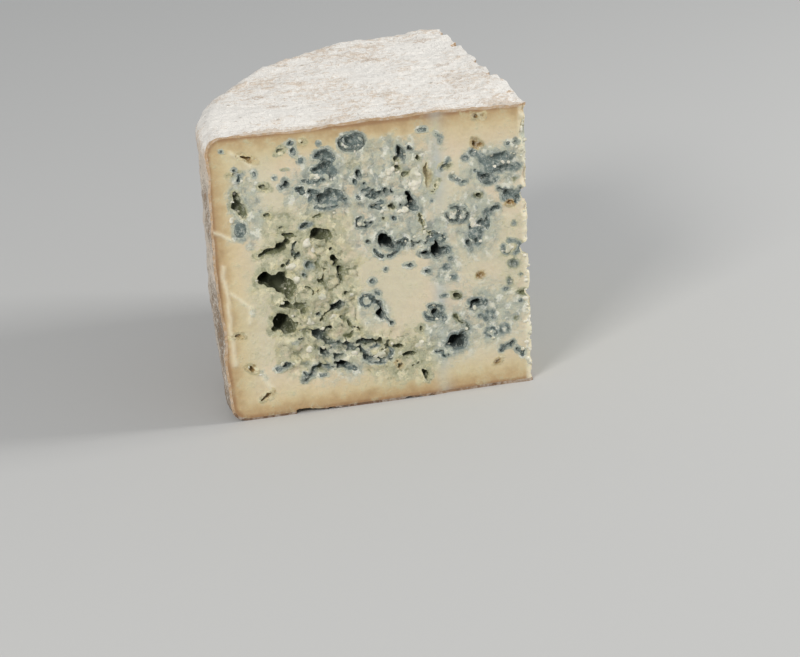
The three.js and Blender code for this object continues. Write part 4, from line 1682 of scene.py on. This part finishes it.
    def _lips(self, graph: Graph, colour: Value, masks: PasteMasks) -> Socket:
        """Draws a broken dark line and a pale lip round the openings.

        Args:
            graph: The material's graph.
            colour: Colour of the paste and the walls.
            masks: What the material knows of each place.

        Returns:
            The colour.
        """
        rim = graph.times(
            graph.step(masks.mould, 0.76, 0.84),
            graph.step(masks.mould, 0.9, 1.02, self.rim_share, 0.0),
            graph.step(masks.slate, 0.3, 0.9, 0.1, 1.0),
            graph.step(masks.middle, 0.42, 0.58),
        )
        lip = graph.times(
            graph.step(masks.mould, 0.5, 0.62),
            graph.step(masks.mould, 0.66, 0.78, 0.75, 0.0),
            graph.step(masks.slate, 0.2, 0.7, 0.25, 1.0),
            graph.step(masks.middle, 0.46, 0.62, 0.0, self.lip_share),
        )
        return graph.mix(lip, graph.mix(rim, colour, self.outline), self.lip)


@dataclass(frozen=True)
class RindFinish:
    """A dry rind: white flour on top, thinner down the side, over tan and grey-brown skin; the darker side
    is partly painted shade.
    """

    name: str = "floury_rind"
    flour: Colour = paint(240, 236, 229)
    thin_flour: Colour = paint(216, 207, 194)
    blush: Colour = paint(217, 201, 183)
    smudge: Colour = paint(176, 146, 116)
    skin: Colour = paint(158, 136, 114)
    dark: Colour = paint(112, 96, 80)
    section: Colour = paint(198, 168, 134)
    foot: Colour = paint(122, 96, 76)
    speck: Colour = paint(140, 134, 122)
    roughness: float = 0.92
    gloss: float = 0.2
    cover: float = 1.75
    patch_wear: float = 1.3
    streak_wear: float = 0.7
    crust_wear: float = 1.0
    grain_wear: float = 0.9
    relief: float = 0.75 * MM

    def build(self, effects: Effects) -> Material:
        """Makes the material.

        Args:
            effects: The shared effects.

        Returns:
            The material.
        """
        material, graph, shader = start_material(self.name)
        place = graph.place()
        drawn = graph.vector("MULTIPLY", place, (0.55, 1.0, 1.0))

        def cloud(at: Value, length: float, detail: float = 4.0, shift: float = 0.0) -> Socket:
            """A cloud whose patches have a length in millimetres."""
            return graph.effect(effects.mottle, place=at, length=length, detail=detail, shift=shift)

        patches, streaks = cloud(place, 20, 4), cloud(drawn, 4.2, 5, 3.0)
        crust, grain = cloud(place, 1.5, 3), cloud(place, 0.42, 2, 5.0)
        flour = graph.attribute("flour")
        worn = graph.blend(
            (patches, self.patch_wear),
            (streaks, self.streak_wear),
            (crust, self.crust_wear),
            (grain, self.grain_wear),
        )
        cover = graph.minus(graph.plus(flour, self.cover), worn)
        skin = graph.mix(graph.step(crust, 0.4, 0.62), self.dark, self.skin)
        colour = graph.mix(graph.step(cover, -0.22, 0.3), skin, self.thin_flour)
        colour = graph.mix(graph.step(cover, 0.2, 0.5), colour, self.blush)
        colour = graph.mix(graph.step(cover, 0.45, 0.85), colour, self.flour)
        wavy = graph.vector("ADD", drawn, graph.times(graph.minus(crust, 0.5), 7.0))
        smudges = graph.effect(effects.specks, place=wavy, spacing=12.0, size=0.18)
        smudges = graph.times(smudges, graph.step(grain, 0.4, 0.6, 0.15, 0.6))
        colour = graph.mix(smudges, colour, self.smudge)
        specks = graph.effect(effects.specks, place=place, spacing=2.7, size=0.2)
        specks = graph.times(specks, graph.step(streaks, 0.4, 0.6, 0.1, 0.5))
        specks = graph.most(specks, graph.step(grain, 0.6, 0.74, 0.0, 0.4))
        colour = graph.mix(specks, colour, self.speck)
        low = graph.plus(graph.step(flour, 0.0, 0.3), graph.minus(patches, 0.45))
        section = graph.mix(graph.step(low, 0.0, 0.5), self.foot, self.section)
        section = graph.mix(graph.step(crust, 0.4, 0.66, 0.0, 0.45), section, self.thin_flour)
        colour = graph.mix(graph.attribute("section"), colour, section)
        graph.feed(colour, shader.inputs["Base Color"])
        shader.inputs["Roughness"].default_value = self.roughness
        shader.inputs["Specular IOR Level"].default_value = self.gloss
        bump(graph, shader, graph.blend((grain, 0.5), (crust, 1.0), (streaks, 0.6)), self.relief, 0.95)
        return material


@dataclass(frozen=True)
class CurdFinish:
    """Whitish, unmoulded curd, of which the loose lumps and crumbs are made."""

    name: str = "pale_curd"
    light: Colour = paint(229, 224, 207)
    shade: Colour = paint(200, 198, 176)
    roughness: float = 0.55
    glow: Triple = (1.0, 0.8, 0.5)
    glow_reach: float = 1.0 * MM
    relief: float = 0.15 * MM

    def build(self, effects: Effects) -> Material:
        """Makes the material.

        Args:
            effects: The shared effects.

        Returns:
            The material.
        """
        material, graph, shader = start_material(self.name)
        place = graph.place()
        patches = graph.effect(effects.mottle, place=place, length=2.4, detail=3.0)
        grain = graph.effect(effects.mottle, place=place, length=0.5, detail=2.0)
        colour = graph.mix(graph.step(patches, 0.38, 0.62), self.light, self.shade)
        graph.feed(colour, shader.inputs["Base Color"])
        shader.inputs["Roughness"].default_value = self.roughness
        add_glow(shader, self.glow, self.glow_reach)
        bump(graph, shader, grain, self.relief, 0.7)
        return material


# ---- The wedge ----


@dataclass
class Wedge:
    """The wedge of paste in its thin rind, with the openings of both cuts."""

    wheel: Wheel
    marblings: tuple[Marbling, ...]
    knife: Knife
    rind: float = 0.8 * MM
    rind_noise: tuple[Layer, ...] = ((0.7 * MM, 19 * MM, 0.0), (0.35 * MM, 7 * MM, 4.4))
    rind_grain: Layer = (0.24 * MM, 1.9 * MM, 6.6)
    inner_ripple: Layer = (0.25 * MM, 5 * MM, 1.7)
    outer_step: float = 0.85 * MM
    outer_sweep: int = 190
    inner_step: float = 1.8 * MM
    inner_sweep: int = 52
    hollow_voxel: float = 0.36 * MM
    hollow_noise: tuple[Layer, ...] = ((0.3 * MM, 1.9 * MM, 0.0), (0.12 * MM, 0.8 * MM, 3.3))
    hollow_share: float = 0.38
    speck_faces: int = 400
    smear_at: float = 28.6 * MM
    smear_width: float = 2.6 * MM
    smear_sway: float = 1.2 * MM
    # Strength of the painted highlight along the tip edge and along the knife creases.
    tip_highlight: float = 0.75
    crease_highlight: float = 0.7
    # Flour on the side, kept low partly as painted shade of the side.
    side_flour_and_shade: float = 0.16
    flour_rise: float = 0.3
    foot_loss: float = 0.16
    edge_loss: float = 0.45
    edge_width: float = 2.6 * MM
    paste_crease: float = 62
    rind_crease: float = 50

    def build(self) -> tuple[Piece, Piece]:
        """Cuts the wedge out of the wheel.

        Returns:
            The paste and the rind, not yet dressed.
        """
        block = self.knife.block()
        hollows = self._hollows()
        inner = self.wheel.solid("inner_skin", self.rind, self.inner_step, self.inner_sweep)
        displace(inner, lambda at: self._rind_relief(at) + layered(at, (self.inner_ripple,)))
        rind = self.wheel.solid("floury_rind", 0.0, self.outer_step, self.outer_sweep)
        displace(rind, lambda at: self._rind_relief(at) + self._rind_grain(at))
        carve(rind, block, "INTERSECT")
        carve(rind, inner, "DIFFERENCE")
        carve(rind, hollows, "DIFFERENCE")
        carve(inner, block, "INTERSECT")
        carve(inner, hollows, "DIFFERENCE")
        for piece in (rind, inner):
            drop_specks(piece, self.speck_faces)
        inner.name = inner.data.name = "blue_cheese_paste"
        discard(block)
        discard(hollows)
        return inner, rind

    def dress(self, paste: Piece, rind: Piece, effects: Effects) -> None:
        """Gives paste and rind their colours and puts them in the node's place.

        Args:
            paste: The cut paste.
            rind: The cut rind.
            effects: The shared effects.
        """
        points = read_points(paste.data)
        fields = [marbling.spread(points) for marbling in self.marblings]
        nearer = fields[0]["mould"] >= fields[1]["mould"]
        crevices = [
            self.knife.crevices(points, marbling, field["mould"])
            * smooth_step(4 * MM, 2 * MM, marbling.cut.spread(points, self.wheel.axis)[2])
            for marbling, field in zip(self.marblings, fields)
        ]
        sunk = np.min([one.cut.spread(points, self.wheel.axis)[2] for one in self.marblings], axis=0)
        into = (self.wheel.axis.x - points[:, 0]) + (points[:, 1] - self.wheel.axis.y)
        # Painted highlight along the tip edge.
        tip = self.tip_highlight * smooth_step(3.4 * MM, 2.2 * MM, into)
        values = {
            "crevice": np.maximum(*crevices),
            **{name: np.where(nearer, fields[0][name], fields[1][name]) for name in Marbling.FIELDS},
            "sunk": sunk / MM,
            "under_rind": self.wheel.below_rind(points) / MM - self.rind / MM,
            "smear": self._smear(points),
            # Painted highlight along the tip edge and the knife creases.
            "tip": np.maximum(tip, self.crease_highlight * self.knife.creases(points)[0]),
        }
        for name, value in values.items():
            write_values(paste.data, name, value)
        shade_smooth(paste, self.paste_crease)
        hand_over(paste, PasteFinish().build(effects))
        self._dust(rind)
        shade_smooth(rind, self.rind_crease)
        hand_over(rind, RindFinish().build(effects))

    def _hollows(self) -> Piece:
        """One cutter with the shape of every opening.

        Returns:
            The closed cutter.
        """
        bm = bmesh.new()
        for marbling in self.marblings:
            marbling.hollow(bm)
        hollows = to_object(bm, "hollows")
        remesh(hollows, self.hollow_voxel)
        displace(hollows, lambda at: layered(at, self.hollow_noise))
        thin_out(hollows, self.hollow_share)
        return hollows

    def _rind_relief(self, points: Array) -> Array:
        """How far the lumpy skin stands out at points near it. The base stays flat."""
        return layered(points, self.rind_noise) * smooth_step(0.8 * MM, 3 * MM, points[:, 2])

    def _rind_grain(self, points: Array) -> Array:
        """How far the rind's fine grain stands out at points near it. The base stays flat."""
        return layered(points, (self.rind_grain,)) * smooth_step(0.0, 2 * MM, points[:, 2])

    def _smear(self, points: Array) -> Array:
        """Where the knife drew a faint upright streak of mould down the front cut.

        Args:
            points: Places in metres, one a row.

        Returns:
            One strength from 0 to 1 for each point.
        """
        right, _, sunk = Cut.FRONT.spread(points, self.wheel.axis)
        sway = self.smear_sway * perlin(points * [0, 0, 1], 30 * MM)
        streak = hump(-right - self.smear_at - sway, 0.0, self.smear_width)
        patchy = 0.55 + 0.5 * perlin(points, 12 * MM, 2.9)
        return streak * np.clip(patchy, 0, 1) * smooth_step(1.5 * MM, 0.3 * MM, sunk)

    def _dust(self, rind: Piece) -> None:
        """Keeps with the rind how floury each place is and where its cut section shows. Less flour down the
        side also paints the side's shade.

        Args:
            rind: The cut rind.
        """
        points = read_points(rind.data)
        z = points[:, 2]
        top = smooth_step(self.wheel.height - 9 * MM, self.wheel.height - 1 * MM, z)
        # Less flour down the side, least low down: thinner flour, and painted shade on the side.
        side = self.side_flour_and_shade + self.flour_rise * smooth_step(10 * MM, 84 * MM, z)
        worn_edge = hump(Cut.FRONT.spread(points, self.wheel.axis)[2], 0.0, self.edge_width)
        worn_edge *= smooth_step(-0.3, 0.5, perlin(points, 14 * MM, 7.1))
        foot = self.foot_loss * smooth_step(6 * MM, 0.0, z)
        flour = side + (1.0 - side) * top - foot - self.edge_loss * top * worn_edge
        write_values(rind.data, "flour", flour)
        facing = read_facing(rind.data)
        turned_out = np.max([facing @ np.array(-one.cut.inward) for one in self.marblings], axis=0)
        write_values(rind.data, "section", smooth_step(0.5, 0.7, turned_out), "FACE")


@dataclass
class Curds:
    """Pale curd lumps that stand in the front cut, and crumbs that stick in its torn parts."""

    wheel: Wheel
    marblings: tuple[Marbling, ...]
    lumps: tuple[tuple[float, float, float, float, float], ...] = CURDS
    parts: int = 4
    crumbs: int = 520
    tip_crumbs: int = 90
    stand: float = 0.1
    flatness: float = 0.5
    thickest: float = 0.7
    voxel: float = 0.3 * MM
    noise: tuple[Layer, ...] = ((0.42 * MM, 1.7 * MM, 0.0), (0.16 * MM, 0.7 * MM, 3.3))
    crease: float = 80
    seed: int = 77
    probe_from: float = -6.0
    probe_reach: float = 14 * MM
    steepest: float = -0.4

    def build(self, paste: Piece) -> Piece:
        """Sets the lumps and crumbs half into the paste.

        Args:
            paste: The finished paste that they lie on.

        Returns:
            All of them as one piece, not yet dressed.
        """
        tree = BVHTree.FromObject(paste, bpy.context.evaluated_depsgraph_get())
        front = self.marblings[0]
        ball = round_lump(3)
        rng = random.Random(self.seed)
        bm = bmesh.new()
        for u, z, width, height, tilt in self.lumps:
            for _ in range(self.parts):
                aside, above = rng.uniform(-0.25, 0.25) * width, rng.uniform(-0.25, 0.25) * height
                half = (width * rng.uniform(0.22, 0.42), height * rng.uniform(0.22, 0.42))
                self._add(bm, ball, tree, front, aside - u, z + above, half, tilt)
        for marbling in self.marblings:
            hollow = [lump for lump in marbling.lumps if lump.hollow and 4 < lump.z < 84]
            for _ in range(self.crumbs // 2):
                lump = rng.choice(hollow)
                angle, size = rng.uniform(0, math.tau), 0.24 + 0.5 * rng.random() ** 2
                reach = lump.across + rng.uniform(0.1, 1.6)
                right = lump.right + reach * math.cos(angle)
                z = lump.z + reach * math.sin(angle)
                self._add(bm, ball, tree, marbling, right, z, (size, size * rng.uniform(0.6, 1)), angle)
        for _ in range(self.tip_crumbs):
            right, z, size = -rng.uniform(0.3, 2.0), rng.uniform(5, 86), rng.uniform(0.3, 0.8)
            self._add(bm, ball, tree, front, right, z, (size, size * rng.uniform(0.5, 1)), 0.0)
        curds = to_object(bm, "pale_curds")
        remesh(curds, self.voxel)
        displace(curds, lambda at: layered(at, self.noise))
        return curds

    def dress(self, curds: Piece, effects: Effects) -> None:
        """Gives the curds their colour and puts them in the node's place."""
        shade_smooth(curds, self.crease)
        hand_over(curds, CurdFinish().build(effects))

    def _add(
        self,
        bm: Shape,
        ball: Mesh,
        tree: BVHTree,
        marbling: Marbling,
        right: float,
        z: float,
        half: tuple[float, float],
        tilt: float,
    ) -> None:
        """Adds one flattened lump where a line into the cut meets the paste, if it does.

        Args:
            bm: The shape to add to.
            ball: The ball of radius 1.
            tree: The paste's faces.
            marbling: The cut that the lump sticks to.
            right: Its place across the cut.
            z: Its height.
            half: Its half width and half height.
            tilt: How far it is turned.
        """
        cut = marbling.cut
        start = marbling.place(right, z, self.probe_from)
        found, normal, _, _ = tree.ray_cast(start, cut.inward, self.probe_reach)
        if found is None or normal.dot(cut.inward) > self.steepest:
            return
        turn = Matrix.Rotation(math.radians(tilt), 3, -cut.inward)
        across = turn @ cut.right * half[0] * MM
        tall = turn @ Vector((0, 0, half[1] * MM))
        deep = cut.inward * min(self.thickest, self.flatness * min(half)) * MM
        add_lump(bm, ball, (across, deep, tall), found + deep * self.stand)


# ---- Studio ----


@dataclass(frozen=True)
class Lamp:
    """A soft square lamp that looks at the wedge."""

    name: str
    place: Triple
    size: float
    power: float
    colour: Triple

    def hang(self, aim: Vector) -> None:
        """Adds the lamp to the scene.

        Args:
            aim: The place that it looks at.
        """
        data = bpy.data.lights.new(self.name, "AREA")
        data.size = self.size
        data.energy = self.power
        data.color = self.colour
        lamp = bpy.data.objects.new(self.name, data)
        bpy.context.scene.collection.objects.link(lamp)
        lamp.rotation_mode = "QUATERNION"
        lamp.location = self.place
        lamp.rotation_quaternion = (aim - lamp.location).to_track_quat("-Z", "Y")


@dataclass
class Studio:
    """Floor, soft lights and the camera at the photograph's angle."""

    wheel: Wheel
    yaw: float = 14.62
    pitch: float = 19.78
    roll: float = -2.54
    distance: float = 1008.5 * MM
    aside: float = -18.73 * MM
    above: float = 32.19 * MM
    lens: float = 144.0
    floor_size: float = 12.0
    floor_colour: Colour = (0.52, 0.52, 0.51, 1.0)
    floor_roughness: float = 0.8
    aim: Triple = (0, 0, 45 * MM)
    key: Lamp = Lamp("key", (-0.85, -0.95, 0.85), 0.4, 12.6, (1.0, 0.97, 0.93))
    rim: Lamp = Lamp("rim", (0.95, -0.1, 0.55), 0.3, 7.0, (1.0, 0.99, 0.97))
    sky_colour: Colour = (0.93, 0.96, 1.0, 1)
    sky_strength: float = 0.45

    def camera(self) -> None:
        """Places the camera and makes it the scene's."""
        data = bpy.data.cameras.new("camera")
        data.lens = self.lens
        data.sensor_width = 36.0
        data.clip_end = 50.0
        camera = bpy.data.objects.new("camera", data)
        bpy.context.scene.collection.objects.link(camera)
        turn = (
            Matrix.Rotation(math.radians(self.roll), 3, "Y")
            @ Matrix.Rotation(math.radians(self.pitch), 3, "X")
            @ Matrix.Rotation(math.radians(self.yaw), 3, "Z")
        )
        right, forward, up = turn[0], turn[1], turn[2]
        aim = self.wheel.axis + Vector((-50, 40, 45)) * MM
        offset = Vector((self.aside, self.distance, self.above))
        place = aim - turn.transposed() @ offset
        axes = Matrix((right, up, -forward)).transposed()
        camera.matrix_world = Matrix.Translation(place) @ axes.to_4x4()
        bpy.context.scene.camera = camera

    def floor(self) -> None:
        """A wide, plain, pale floor."""
        bm = bmesh.new()
        bmesh.ops.create_grid(bm, x_segments=1, y_segments=1, size=self.floor_size / 2)
        floor = to_object(bm, "floor")
        material, _, shader = start_material("floor_pale")
        shader.inputs["Base Color"].default_value = self.floor_colour
        shader.inputs["Roughness"].default_value = self.floor_roughness
        floor.data.materials.append(material)

    def light(self) -> None:
        """A key from the upper left, a rim light from behind on the right, and a soft sky."""
        for lamp in (self.key, self.rim):
            lamp.hang(Vector(self.aim))
        world = bpy.data.worlds.new("studio")
        world.use_nodes = True
        sky = world.node_tree.nodes["Background"]
        sky.inputs["Color"].default_value = self.sky_colour
        sky.inputs["Strength"].default_value = self.sky_strength
        bpy.context.scene.world = world
        bpy.context.scene.view_settings.view_transform = "Standard"


def main() -> None:
    """Builds the wedge and the studio, and reports each piece."""
    logging.basicConfig(level=logging.INFO, format="%(name)s %(message)s")
    low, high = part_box(NODE)
    wheel = Wheel(axis=Vector((high.x - 0.24 * MM, low.y + 0.1 * MM, 0.0)))
    studio = Studio(wheel)
    studio.camera()
    studio.floor()
    studio.light()
    front = (*FRONT_LEFT, *FRONT_FOOT, *FRONT_MIDDLE, *FRONT_CROWN, *FRONT_TINTS, *BASE_CHIPS)
    side = (*SideRule().features(), *TIP_BITES, *SIDE_CHIPS)
    marblings = (Marbling(wheel, Cut.FRONT, front, 11), Marbling(wheel, Cut.SIDE, side, 12))
    effects = Effects(mottle_effect(), speck_effect(), line_effect())
    wedge = Wedge(wheel, marblings, Knife(wheel, marblings))
    paste, rind = wedge.build()
    curds = Curds(wheel, marblings)
    loose = curds.build(paste)
    wedge.dress(paste, rind, effects)
    curds.dress(loose, effects)


if __name__ == "__main__":
    main()
